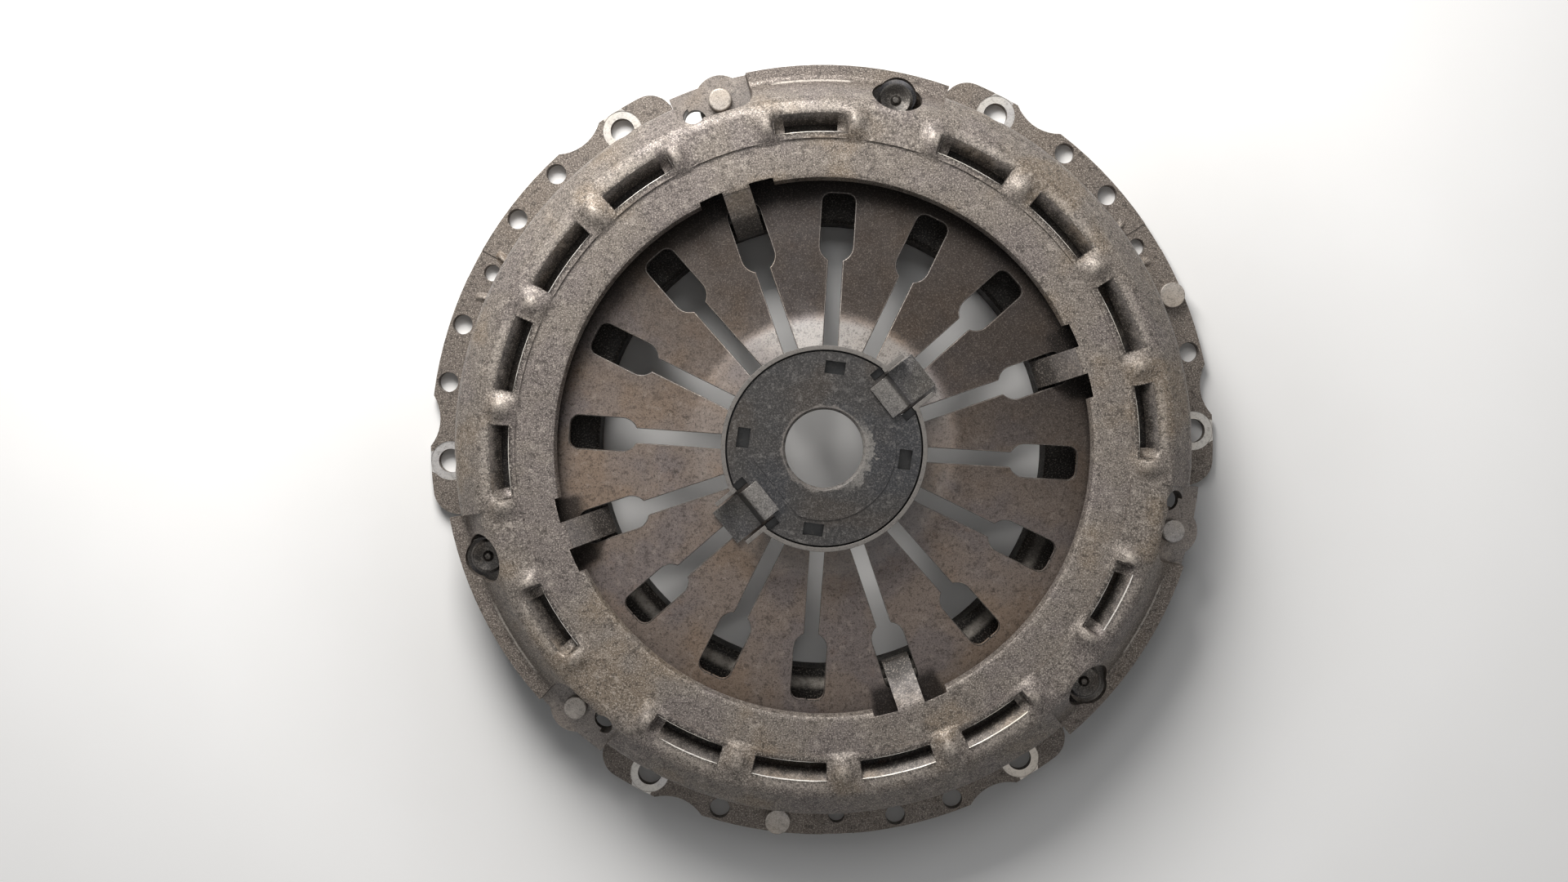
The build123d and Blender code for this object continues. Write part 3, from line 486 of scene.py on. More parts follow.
@dataclass(frozen=True)
class HighlitSeat(WornSteel):
    """Steel with a painted highlight in a narrow ring on one side, where it shows through the fingers' eyes."""

    seat: float = 84.0
    seat_half: float = 2.8

    def dress(self, bench: NodeBench, shade: Socket, mottle: Socket) -> Socket:
        """Lay the painted highlight ring."""
        off = bench.off(bench.radius(), self.seat * MM)
        ring = bench.ramp(off, self.seat_half * MM, 0.2 * self.seat_half * MM)
        side = bench.ramp(bench.axis("Y"), -0.02, -0.06, 0.0, 0.75)
        # painted highlight ring, on the lower side only
        worn = bench.times(bench.times(ring, side), bench.ramp(mottle, 0.3, 0.6, 0.5, 1.0))
        return bench.mix(worn, shade, tone(196, 188, 178))


PRESSED = dict(base=(114, 106, 99), warm=(119, 107, 94), cool=(109, 101, 97), light=(196, 186, 175),
               dark=(36, 32, 29), light_share=0.6, dark_share=0.66, mottle_share=0.6, metallic=0.26,
               specular=0.25, roughness=(0.36, 0.58), seed=0.0)
# darker from 33 mm down to 24 mm and from 8 mm down to 4 mm: painted shade
COVER = PressedRidge("pressed_steel_cover", **PRESSED,
                     levels=((33.0, 24.0, (92, 83, 76), 0.6), (8.0, 4.0, (104, 96, 89), 0.5)))
# domes and stakes are lighter on top: painted highlight
DOME = HighlitDome("cover_dome_highlight", **PRESSED)
STAKE = HighlitDome("flange_stake_highlight", (112, 103, 95), (118, 105, 92), (106, 98, 93), light=(204, 194, 182),
                   dark=(40, 35, 31), light_share=0.5, dark_share=0.6, highlit_above=4.3, metallic=0.12,
                   specular=0.25, seed=0.5)
COVER_EDGE = WornSteel("cover_worn_edge", (142, 134, 126), (148, 136, 122), (134, 126, 122), metallic=0.25,
                       roughness=(0.36, 0.52), mottle_share=0.5, dark_share=0.5, seed=1.0)
# pale window lips: sheared edges with a painted glint, and painted highlight on the lower outer lips
COVER_BRIGHT = WornSteel("cover_sheared_edge_glint", (222, 217, 208), (226, 218, 204), (214, 209, 203), metallic=0.15,
                         roughness=(0.22, 0.36), mottle_share=0.6, dark_share=0.4, seed=1.5)
COVER_COINED = WornSteel("cover_coined_steel", (176, 172, 166), (182, 174, 164), (166, 163, 161), metallic=0.55,
                         roughness=(0.32, 0.5), mottle_share=0.4, seed=2.0)
# darker inwards from 114.2 mm to 110.6 mm in the windows: painted shade
COVER_RECESS = WornSteel("cover_recess", (112, 104, 98), (118, 106, 94), (104, 98, 94), roughness=(0.36, 0.52),
                         dark=(34, 30, 27), light=(176, 166, 154), light_share=0.35, dark_share=0.6,
                         metallic=0.4, rings=((114.2, 110.6, (34, 30, 27), 0.92),), seed=2.5)
COVER_UNDER = WornSteel("cover_underside", (88, 80, 73), (94, 79, 64), (80, 75, 73), rust=0.3, seed=3.0)
# tabs darker from 35.8 mm down to 28.5 mm: painted shade
TAB = WornSteel("hooked_tab_steel", (100, 92, 86), (102, 91, 80), (94, 88, 85), light=(170, 160, 150),
                dark=(34, 30, 27), light_share=0.4, dark_share=0.55, levels=((35.8, 28.5, (34, 30, 27), 0.9),),
                seed=3.5)
SPRING = FingerSteel("diaphragm_steel", (120, 108, 100), (124, 108, 95), (112, 103, 100), light=(158, 146, 137),
                     dark=(44, 39, 35), light_share=0.18, dark_share=0.55, mottle_share=0.72, rust=0.26,
                     rust_colour=(128, 106, 92), roughness=(0.58, 0.78), metallic=0.1, relief=0.022, seed=4.0,
                     polish=(48.5, 42.0, 0.24), specular=0.15)
# finger edges darken from 66 mm out to 88 mm, under the cover's rim: painted shade and dirt
SPRING_EDGE = WornSteel("diaphragm_edge", (86, 79, 74), (90, 81, 73), (82, 77, 74), metallic=0.5,
                        roughness=(0.36, 0.52), rings=((66.0, 88.0, (44, 39, 35), 0.85),), seed=5.0)
DISC = ScoredDisc("thrust_plate_steel", (54, 52, 51), (58, 53, 49), (49, 49, 51), light=(156, 152, 148),
                  dark=(18, 17, 16), metallic=0.2, specular=0.3, roughness=(0.34, 0.52),
                  light_share=0.24, dark_share=0.48, bands=((14.0, 1.1, (122, 116, 111), 0.6),), seed=6.0)
DISC_EDGE = WornSteel("thrust_plate_edge", (120, 116, 112), (126, 118, 110), (112, 110, 110), metallic=0.6,
                      roughness=(0.3, 0.46), mottle_share=0.5, seed=7.0)
# near-black tone: painted shade of the cup's inside seen through the thrust plate's holes; lighter rim top: painted
# highlight
CUP = WornSteel("retainer_cup_steel", (15, 14, 14), (17, 15, 14), (14, 14, 15), light=(90, 86, 82),
                dark=(6, 6, 6), metallic=0.2, roughness=(0.4, 0.55), light_share=0.06,
                levels=((43.2, 44.0, (120, 115, 110), 0.8),), seed=7.5)
# lighter from 43.6 mm up to 45.4 mm at the rolled nose: painted highlight
CLIP = WornSteel("clip_steel", (72, 69, 66), (76, 70, 64), (68, 66, 67), light=(176, 172, 166),
                 dark=(22, 21, 20), metallic=0.25, specular=0.35, roughness=(0.26, 0.42), dark_share=0.5,
                 levels=((43.6, 45.4, (124, 120, 116), 0.6),), seed=8.0)
CLIP_EDGE = WornSteel("clip_edge", (112, 108, 104), (118, 110, 102), (106, 104, 104), metallic=0.4,
                      roughness=(0.24, 0.4), mottle_share=0.6, dark_share=0.4, seed=8.5)
RIVET = WornSteel("rivet_steel", (150, 143, 136), (156, 145, 132), (142, 138, 136), metallic=0.45,
                  roughness=(0.38, 0.56), mottle_size=1.6, mottle_share=0.6, light_share=0.45, dark_share=0.4,
                  seed=9.0)
LUG_RIVET = WornSteel("lug_rivet_steel", (64, 60, 56), (70, 61, 53), (58, 56, 56), metallic=0.5,
                      dark=(20, 18, 17), roughness=(0.34, 0.5), mottle_size=1.6, seed=10.0)
# the iron's dark tone is partly, and its darker ring inside 93 mm wholly, painted shade of the recess seen through the
# fingers' eyes; the lower-side ring is a painted highlight
IRON = HighlitSeat("cast_iron", (70, 64, 58), (78, 66, 54), (64, 60, 58), dark=(24, 21, 19), metallic=0.1, specular=0.2,
                  roughness=(0.55, 0.75), rust=0.35, grain_size=0.6, relief=0.09,
                  rings=((93.0, 89.0, (20, 18, 16), 0.88),), seed=11.0)
MACHINED = WornSteel("machined_iron", (140, 138, 134), (146, 140, 130), (132, 132, 134), metallic=0.6,
                     roughness=(0.3, 0.46), mottle_share=0.25, brushed=0.02, seed=12.0)
LEAF = WornSteel("leaf_spring_steel", (92, 88, 84), (98, 88, 78), (84, 84, 88), metallic=0.6,
                 roughness=(0.32, 0.5), seed=13.0)
# near-black tone: painted shade where it shows through the fingers' eyes; the lower-side ring is a painted highlight
SENSOR = HighlitSeat("sensor_spring_steel", (32, 29, 27), (36, 31, 27), (29, 27, 27), dark=(10, 9, 9),
                    light_share=0.1, metallic=0.3, specular=0.3, roughness=(0.28, 0.4), seed=14.0)
RING = WornSteel("wedge_ring_steel", (62, 56, 51), (70, 60, 50), (58, 54, 52), metallic=0.45, rust=0.2,
                 dark=(20, 18, 16), light=(170, 160, 148), light_share=0.3, dark_share=0.5, seed=15.0)
WIRE = WornSteel("coil_wire", (128, 126, 124), (134, 126, 116), (120, 120, 124), metallic=0.8,
                 roughness=(0.25, 0.4), seed=16.0)
ALL_FINISHES = (COVER, DOME, STAKE, COVER_EDGE, COVER_BRIGHT, COVER_COINED, COVER_RECESS, COVER_UNDER, TAB,
                SPRING, SPRING_EDGE, DISC, DISC_EDGE, CUP, CLIP, CLIP_EDGE, RIVET, LUG_RIVET, IRON, MACHINED,
                LEAF, SENSOR, RING, WIRE)


def native(node: str) -> Mesh:
    """Copy a node of the model as a merged mesh of flat faces."""
    shape = bmesh.new()
    shape.from_mesh(FRAME["nodes"][node].data)
    bmesh.ops.remove_doubles(shape, verts=shape.verts, dist=2e-6)
    return shape


def finish_mesh(name: str, shape: Mesh, finishes: Iterable[WornSteel], smooth: float = 35.0) -> Piece:
    """Turn a bmesh into an object that sits at the origin.

    Args:
        name: Name of the piece.
        shape: Its mesh, which is used up.
        finishes: Finishes, in the order of the faces' slots.
        smooth: Faces that meet at less than this angle are shaded as one, in degrees.

    Returns:
        The new object.
    """
    mesh = bpy.data.meshes.new(name)
    shape.normal_update()
    shape.to_mesh(mesh)
    shape.free()
    for finish in finishes:
        mesh.materials.append(FINISHES[finish.name])
    piece = bpy.data.objects.new(name, mesh)
    bpy.context.scene.collection.objects.link(piece)
    mesh.shade_smooth()
    mesh.set_sharp_from_angle(angle=math.radians(smooth))
    weigh_normals(piece)
    LOG.info("%s: %d faces", name, len(piece.data.polygons))
    return piece


def weigh_normals(piece: Piece) -> None:
    """Shade flat faces flat and leave the bend to the narrow faces beside them."""
    weigh = piece.modifiers.new("weigh_normals", "WEIGHTED_NORMAL")
    weigh.keep_sharp = True
    weigh.weight = 100
    weighed = bpy.data.meshes.new_from_object(piece.evaluated_get(bpy.context.evaluated_depsgraph_get()))
    plain = piece.data
    name = plain.name
    piece.modifiers.clear()
    piece.data = weighed
    bpy.data.meshes.remove(plain)
    weighed.name = name


def soften(shape: Mesh, width: float, least: float = 32.0, steps: int = 2,
           keep: Optional[Callable[[Edge], bool]] = None) -> list[Face]:
    """Round a mesh's sharp edges.

    Args:
        shape: Mesh to work on.
        width: Width of the rounding in millimetres.
        least: Edges bent by more than this many degrees are rounded.
        steps: Faces across a rounding.
        keep: Test that picks the edges to round.

    Returns:
        The faces of the roundings.
    """
    sharp = [
        edge for edge in shape.edges
        if len(edge.link_faces) == 2 and edge.calc_face_angle(0.0) > math.radians(least)
        and (keep is None or keep(edge))
    ]
    made = bmesh.ops.bevel(shape, geom=sharp, offset=width * MM, affect="EDGES", segments=steps, profile=0.5,
                           material=-1, clamp_overlap=True)
    return made["faces"]


def flatten_faces(shape: Mesh, angle: float = 0.4) -> None:
    """Join the triangles of flat faces, which meet at less than an angle in degrees."""
    bmesh.ops.dissolve_limit(shape, angle_limit=math.radians(angle), verts=shape.verts, edges=shape.edges,
                             delimit={"MATERIAL"})


def split_long_faces(shape: Mesh) -> None:
    """Split the faces of more than four corners, which would shade badly, into triangles."""
    bmesh.ops.triangulate(shape, faces=[face for face in shape.faces if len(face.verts) > 4])


def face_up(shape: Mesh) -> None:
    """Turn the faces of a sheet so that they look up."""
    for face in shape.faces:
        if face.normal.z < 0:
            face.normal_flip()


def cut_across(shape: Mesh, place: Vector, along: Vector) -> None:
    """Cut every face that a plane crosses, so that the piece can bend there."""
    bmesh.ops.bisect_plane(shape, geom=shape.verts[:] + shape.edges[:] + shape.faces[:], dist=1e-7,
                           plane_co=place, plane_no=along)


def outward(angle: float) -> Vector:
    """Unit vector away from the axis at an angle in degrees."""
    turn = math.radians(angle)
    return Vector((math.cos(turn), math.sin(turn), 0.0))


def polar(point: Vector) -> tuple[float, float]:
    """Radius in millimetres and angle in degrees of a point."""
    return math.hypot(point.x, point.y) / MM, math.degrees(math.atan2(point.y, point.x)) % 360.0


class CoverFace(IntEnum):
    """Kinds of face on the cover, in the order of its finishes."""

    PRESSED = 0
    WORN = 1
    SHEARED_GLINT = 2
    COINED = 3
    RECESS = 4
    UNDERSIDE = 5
    TAB = 6


@dataclass
class PressedCover:
    """The pressed cover with its coined bolt seats, windows and hooked tabs.

    Sizes are millimetres and angles degrees. The levels bound the heights at which a kind of face lies.
    """

    edge: float = 0.35
    shear: float = 1.15
    bolt_circle: float = 134.0
    bolt_angles: tuple[float, ...] = tuple(2.0 + 60.0 * turn for turn in range(6))
    seat: float = 7.6
    flange_top: float = 4.2
    window_inner: float = 107.5
    window_outer: float = 113.9
    window_levels: tuple[float, float] = (30.0, 37.5)
    lip_bottom: float = 35.5
    lip_slack: float = 0.12
    least_edge: float = 0.3
    lit_beyond: float = -60.0
    lit_below: float = -35.0
    tab_reach: float = 97.4
    tab_top: float = 32.8
    tab_hook: float = 91.2
    pocket_reach: float = 117.5
    pocket_levels: tuple[float, float] = (19.0, 20.6)

    def near_bolt(self, point: Vector) -> bool:
        """Whether a point lies on a coined seat."""
        for angle in self.bolt_angles:
            apart = point / MM - outward(angle) * self.bolt_circle
            if math.hypot(apart.x, apart.y) < self.seat:
                return True
        return False

    def is_glinting_lip(self, edge: Edge) -> bool:
        """Whether an edge is a bright lip of a window: the inner, sheared one, whose brightness is partly a painted
        glint, and on the lit lower side the outer one too, which is a painted highlight.
        """
        if edge.calc_length() < self.least_edge * MM:
            return False
        lips = [self.window_inner]
        if all(vert.co.y < self.lit_below * MM and vert.co.x > self.lit_beyond * MM for vert in edge.verts):
            lips.append(self.window_outer)
        return any(all(abs(polar(vert.co)[0] - lip) < self.lip_slack and vert.co.z > self.lip_bottom * MM
                       for vert in edge.verts) for lip in lips)

    def kind_of(self, face: Face, worn: bool) -> CoverFace:
        """Choose a face's finish from where it lies.

        Args:
            face: The face.
            worn: Whether it is part of a rounded edge.

        Returns:
            The kind of face.
        """
        centre = face.calc_center_median()
        radius, _ = polar(centre)
        height = centre.z / MM
        if radius < self.tab_reach and (height < self.tab_top or radius < self.tab_hook):
            return CoverFace.TAB
        low, high = self.window_levels
        if self.window_inner < radius < self.window_outer + 0.4 and low < height < high:
            return CoverFace.RECESS
        if height < self.flange_top and face.normal.z > 0.3 and self.near_bolt(centre):
            return CoverFace.COINED
        low, high = self.pocket_levels
        if radius > self.pocket_reach and low < height < high and face.normal.z > 0.5:
            return CoverFace.RECESS
        if face.normal.z < -0.3:
            return CoverFace.UNDERSIDE
        return CoverFace.WORN if worn else CoverFace.PRESSED

    def build(self) -> Piece:
        """Copy the pressing, round its edges and mark its worn places.

        Returns:
            The cover.
        """
        shape = native("cover")
        flatten_faces(shape)
        # bright window lips: painted glint on the sheared inner lips, painted highlight on the lower outer lips
        for face in soften(shape, self.shear, keep=self.is_glinting_lip):
            face.material_index = CoverFace.SHEARED_GLINT
        rounded = set(soften(shape, self.edge))
        split_long_faces(shape)
        for face in shape.faces:
            if face.material_index != CoverFace.SHEARED_GLINT or face in rounded:
                face.material_index = self.kind_of(face, face in rounded)
        piece = finish_mesh("cover_pressing", shape,
                            (COVER, COVER_EDGE, COVER_BRIGHT, COVER_COINED, COVER_RECESS, COVER_UNDER, TAB))
        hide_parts("cover")
        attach(piece, Body.COVER.value)
        return piece


@dataclass
class Pressings:
    """Small forms pressed up in the cover, each laid on the cover's own surface as a grid.

    Sizes are millimetres and angles degrees. A form reaches out on both sides of its middle radius and
    turns half its angle to both sides. Where the cover is open under it, it stands at the open level.
    """

    name: str
    finish: WornSteel
    places: tuple[tuple[float, float], ...]
    middle: float
    reach: float
    half: float
    rise: float
    steps: int
    fall: int = 2
    open_level: float = 33.9
    top_level: float = math.inf
    sunk: float = 0.02
    above: float = 100.0

    def lay(self, ground: BVHTree, angle: float, lean: float) -> Mesh:
        """Lay one form.

        Args:
            ground: Surface of the cover.
            angle: Direction of its middle.
            lean: Angle by which its outer end lies further round than its middle.

        Returns:
            The mesh.
        """
        shape = bmesh.new()
        made = bmesh.ops.create_grid(shape, x_segments=self.steps, y_segments=self.steps, size=1.0)
        for vert in made["verts"]:
            across, around = vert.co.x, vert.co.y
            place = outward(angle + lean * across + around * self.half) * (self.middle + across * self.reach) * MM
            place.z = self.above * MM
            hit = ground.ray_cast(place, -UP)[0]
            level = min(hit.z if hit is not None else self.open_level * MM, self.top_level * MM)
            bell = math.cos(math.pi / 2 * across) ** self.fall * math.cos(math.pi / 2 * around) ** 2
            place.z = level + (self.rise * bell - self.sunk) * MM
            vert.co = place
        face_up(shape)
        return shape

    def build(self) -> list[Piece]:
        """Press every form in each sector of the cover.

        Returns:
            The pieces.
        """
        cover = native("cover")
        ground = BVHTree.FromBMesh(cover)
        pieces = []
        for sector in range(SECTORS):
            for angle, lean in self.places:
                shape = self.lay(ground, angle + SECTOR * sector, lean)
                piece = finish_mesh(self.name.format(len(pieces) + 1), shape, (self.finish,), 60.0)
                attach(piece, Body.COVER.value)
                pieces.append(piece)
        cover.free()
        return pieces


RIDGE_DOMES = Pressings(
    "ridge_dome_{:02d}", DOME, tuple((angle, 0.0) for angle in (14.1, 33.3, 52.5, 69.9, 84.2, 99.8, 116.7)),
    middle=110.9, reach=7.4, half=3.05, rise=2.3, steps=14)
FLANGE_STAKES = Pressings(
    "flange_stake_{}", STAKE, ((29.4, -0.35), (36.0, 0.35)),
    middle=132.4, reach=3.4, half=0.85, rise=1.3, steps=12, fall=1, open_level=4.0, top_level=4.0)


def arc(radius: float, half: float, parts: int, trim: int = 0) -> list[tuple[float, float]]:
    """Points along an arc that reaches evenly to both sides of +X.

    Args:
        radius: Its radius.
        half: Angle from +X to its end, in radians.
        parts: Steps from +X to its end.
        trim: Points left out at each end.

    Returns:
        The points, in the radius's own unit.
    """
    reach = parts - trim
    return [(radius * math.cos(half * step / parts), radius * math.sin(half * step / parts))
            for step in range(-reach, reach + 1)]


@dataclass
class DiaphragmSpring:
    """Sixteen fingers cut in a coned disc, each finger bent up towards its tip."""

    fingers: int = 16
    first_slot: float = 18.5
    sheet: float = 2.6
    cone: float = 9.0
    pivot: float = 100.0
    pivot_top: float = 25.0
    outer: float = 116.5
    bend: float = 52.0
    bend_angle: float = 15.3
    bend_reach: float = 2.5
    crown: float = 29.0
    crown_reach: float = 1.5
    tip: float = 24.0
    droop: float = 0.4
    slot: float = 5.0
    keyhole_start: float = 64.0
    keyhole_end: float = 88.0
    keyhole_width: float = 11.5
    corner: float = 3.0
    edge: float = 0.35
    seam: float = 0.004
    arc_parts: int = 5
    finger_cuts: tuple[float, ...] = (27, 29, 32, 36, 42, 48, 50, 52, 54, 57, 62, 68, 74, 80, 86, 91, 95)
    rim_cuts: tuple[float, ...] = (104, 108, 112)

    def top(self, radius: float) -> float:
        """Height of the upper face at a radius, in millimetres."""
        slope = math.tan(math.radians(self.cone))
        rise = math.tan(math.radians(self.bend_angle))
        at_bend = self.pivot_top + (self.pivot - self.bend) * slope
        outside = self.pivot_top + (self.pivot - radius) * slope
        inside = at_bend + (self.bend - radius) * rise
        soft = self.bend_reach
        gap = self.bend - radius
        if gap <= -soft:
            level = outside
        elif gap >= soft:
            level = inside
        else:
            level = outside + (rise - slope) * (gap + soft) ** 2 / (4 * soft)
        rolled = self.crown + self.crown_reach
        if radius < rolled:
            fall = min(1.0, (rolled - radius) / (rolled - self.tip))
            level -= fall ** 2 * ((self.crown - self.tip) * rise + self.droop)
        return level

    def side(self, half: float) -> list[tuple[float, float]]:
        """One side of a finger in plan, from its tip to the pivot, with the finger along +X.

        Args:
            half: Half the pitch of the fingers, in radians.

        Returns:
            Points in millimetres.
        """
        width = self.slot / 2
        wide = self.keyhole_width / 2
        centre = self.keyhole_start + wide
        points = [(math.sqrt(self.tip ** 2 - width ** 2), width),
                  (centre - math.sqrt(wide ** 2 - width ** 2), width)]
        opening = math.asin(width / wide)
        for index in range(1, 7):
            angle = opening + (math.pi / 2 - opening) * index / 6
            points.append((centre - wide * math.cos(angle), wide * math.sin(angle)))
        for index in range(5):
            angle = math.pi / 2 * index / 4
            points.append((self.keyhole_end - self.corner + self.corner * math.sin(angle),
                           wide - self.corner + self.corner * math.cos(angle)))
        points += [(self.keyhole_end, 0.0), (self.pivot, 0.0)]
        return [(step * math.cos(half) + off * math.sin(half), step * math.sin(half) - off * math.cos(half))
                for step, off in points]

    def plan(self, half: float) -> list[tuple[float, float]]:
        """Outline of a finger in plan, from the pivot circle round its tip and back."""
        upper = self.side(half)
        lower = [(x, -y) for x, y in upper]
        nose = arc(self.tip, math.atan2(upper[0][1], upper[0][0]), 3, 1)
        return nose + upper + arc(self.pivot, half, self.arc_parts, 1)[::-1] + lower[::-1]

    def solid(self, outline: list[tuple[float, float]], cuts: Iterable[float], angle: float) -> Mesh:
        """Raise an outline to the spring's cone and give it its thickness.

        Args:
            outline: Points in plan, in millimetres.
            cuts: Distances at which the face is cut across, so that it can bend.
            angle: Direction of the finger in degrees.

        Returns:
            The mesh.
        """
        shape = bmesh.new()
        shape.faces.new([shape.verts.new((x * MM, y * MM, 0.0)) for x, y in outline])
        for cut in cuts:
            cut_across(shape, Vector((cut * MM, 0, 0)), Vector((1, 0, 0)))
        shape.normal_update()
        bmesh.ops.recalc_face_normals(shape, faces=shape.faces)
        face_up(shape)
        made = bmesh.ops.extrude_face_region(shape, geom=shape.faces[:])
        below = {item for item in made["geom"] if isinstance(item, bmesh.types.BMVert)}
        for vert in shape.verts:
            radius = math.hypot(vert.co.x, vert.co.y) / MM
            vert.co.z = (self.top(radius) - (self.sheet if vert in below else 0.0)) * MM
        bmesh.ops.recalc_face_normals(shape, faces=shape.faces)
        bmesh.ops.rotate(shape, verts=shape.verts, cent=(0, 0, 0),
                         matrix=Matrix.Rotation(math.radians(angle), 3, "Z"))
        return shape

    def build(self) -> list[Piece]:
        """Build every finger's inner and outer part.

        Returns:
            The pieces.
        """
        half = math.pi / self.fingers
        plan = self.plan(half)
        rim = arc(self.outer, half, self.arc_parts) + arc(self.pivot, half, self.arc_parts)[::-1]
        pieces = []
        for index in range(self.fingers):
            angle = self.first_slot + 360.0 / self.fingers * (index + 0.5)
            out = outward(angle)

            def free_edge(edge: Edge) -> bool:
                """Whether an edge is on the finger's own outline and not on a seam."""
                middle = (edge.verts[0].co + edge.verts[1].co) / 2
                radius = math.hypot(middle.x, middle.y) / MM
                off = abs(abs(math.atan2(middle.dot(UP.cross(out)), middle.dot(out))) - half)
                return radius < self.pivot - 1.2 and not (radius > self.keyhole_end + 0.2 and off < self.seam)

            shape = self.solid(plan, self.finger_cuts, angle)
            for face in soften(shape, self.edge, 40.0, keep=free_edge):
                face.material_index = 1
            piece = finish_mesh(f"finger_{index + 1:02d}", shape, (SPRING, SPRING_EDGE))
            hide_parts("diaphragm_spring")
            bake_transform(piece)
            pieces.append(piece)
            shape = self.solid(rim, self.rim_cuts, angle)
            piece = finish_mesh(f"spring_rim_{index + 1:02d}", shape, (SPRING,))
            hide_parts("diaphragm_spring")
            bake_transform(piece)
            pieces.append(piece)
        return pieces


@dataclass
class Dressing:
    """A node of the model copied with rounded edges and a finish of its own."""

    node: str
    body: Body
    slot: str
    finishes: tuple[WornSteel, ...]
    edge: float = 0.25
    sharp: float = 32.0
    choose: Optional[Callable[[Face, bool], int]] = None
    name: Optional[str] = None

    def build(self) -> Piece:
        """Copy the node and dress it.

        Returns:
            The piece.
        """
        shape = native(self.node)
        flatten_faces(shape)
        rounded = set(soften(shape, self.edge, self.sharp))
        split_long_faces(shape)
        for face in shape.faces:
            worn = face in rounded
            face.material_index = self.choose(face, worn) if self.choose else int(worn and len(self.finishes) > 1)
        piece = finish_mesh(self.name or self.node + "_piece", shape, self.finishes)
        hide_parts(self.node)
        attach(piece, self.body.value)
        return piece


FRICTION_LEVEL, KNIFE_LEVEL = 1.2, 19.2  # the cast plate is machined below the one and above the other
BORE_RUBBED, RIM_RUBBED = 15.0, 31.8  # the thrust plate is rubbed inside the one radius and outside the other


def plate_face(face: Face, worn: bool) -> int:
    """Slot of a face of the cast plate: the friction face and knife edge are machined."""
    height = face.calc_center_median().z / MM
    if (face.normal.z < -0.9 and height < FRICTION_LEVEL) or (face.normal.z > 0.9 and height > KNIFE_LEVEL):
        return 1
    return 2 if worn else 0


def disc_face(face: Face, worn: bool) -> int:
    """Slot of a face of the thrust plate: only its bore and rim are rubbed bright."""
    radius, _ = polar(face.calc_center_median())
    return int(worn and not BORE_RUBBED <= radius <= RIM_RUBBED)


@dataclass
class LeafPacks:
    """Three packs of three leaf springs between the cover and the pressure plate's lugs."""

    strap_radius: float = 126.0
    lug_radius: float = 124.0
    strap_angle: float = 106.2
    lug_angle: float = 77.8
    packs: int = 3
    leaves: int = 3
    cuts: int = 10
    edge: float = 0.15

    def build(self) -> list[Piece]:
        """Copy the leaves and let them bend along their length.

        Returns:
            The pieces.
        """
        pieces = []
        for pack in range(self.packs):
            start = outward(self.strap_angle + SECTOR * pack) * self.strap_radius * MM
            end = outward(self.lug_angle + SECTOR * pack) * self.lug_radius * MM
            along = end - start
            for leaf in range(self.leaves):
                node = f"leaf_spring_{pack + 1}_{leaf + 1}"
                shape = native(node)
                flatten_faces(shape)
                soften(shape, self.edge, 40.0, 1)
                for cut in range(1, self.cuts):
                    cut_across(shape, start + along * cut / self.cuts, along.normalized())
                piece = finish_mesh(node + "_piece", shape, (LEAF,))
                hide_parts(node)
                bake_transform(piece)
                pieces.append(piece)
        return pieces


@dataclass
class AdjusterCoils:
    """Three coil springs that push the wedge ring round."""

    circle: float = 110.3
    first: float = 108.0
    level: float = 27.75
    length: float = 29.0
    outer: float = 2.75
    wire: float = 0.5
    turns: int = 9
    steps: int = 20
    facets: int = 8

    def build(self) -> list[Piece]:
        """Wind the springs.

        Returns:
            The pieces.
        """
        pieces = []
        for index in range(SECTORS):
            out = outward(self.first + SECTOR * index)
            along = UP.cross(out)
            middle = out * self.circle * MM + UP * self.level * MM
            reach = self.length / 2 - self.wire
            start = middle - along * reach * MM
            shape = bmesh.new()
            radius = self.outer - self.wire
            ring = bmesh.ops.create_circle(shape, cap_ends=False, radius=self.wire * MM, segments=self.facets)
            square = Matrix((UP, along, UP.cross(along))).transposed()
            place = Matrix.Translation(start + UP * radius * MM) @ square.to_4x4()
            bmesh.ops.transform(shape, verts=ring["verts"], matrix=place)
            bmesh.ops.spin(shape, geom=shape.edges[:], cent=start, axis=along,
                           dvec=along * (2 * reach * MM / (self.turns * self.steps)),
                           angle=2 * math.pi * self.turns, steps=self.turns * self.steps, use_duplicate=False)
            bmesh.ops.remove_doubles(shape, verts=shape.verts, dist=1e-7)
            bmesh.ops.holes_fill(shape, edges=[edge for edge in shape.edges if edge.is_boundary], sides=0)
            bmesh.ops.recalc_face_normals(shape, faces=shape.faces)
            piece = finish_mesh(f"adjuster_coil_{index + 1}", shape, (WIRE,), 60.0)
            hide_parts("adjuster_springs")
            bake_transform(piece)
            pieces.append(piece)
        return pieces


def seen_rays(tree: bpy.types.NodeTree) -> Socket:
    """Factor of 1 for the rays in which a background is seen: camera, glossy and transmission rays."""
    path = tree.nodes.new("ShaderNodeLightPath")
    seen = path.outputs["Is Camera Ray"]
    for ray in ("Is Glossy Ray", "Is Transmission Ray"):
        either = tree.nodes.new("ShaderNodeMath")
        either.operation = "MAXIMUM"
        tree.links.new(seen, either.inputs[0])
        tree.links.new(path.outputs[ray], either.inputs[1])
        seen = either.outputs[0]
    return seen


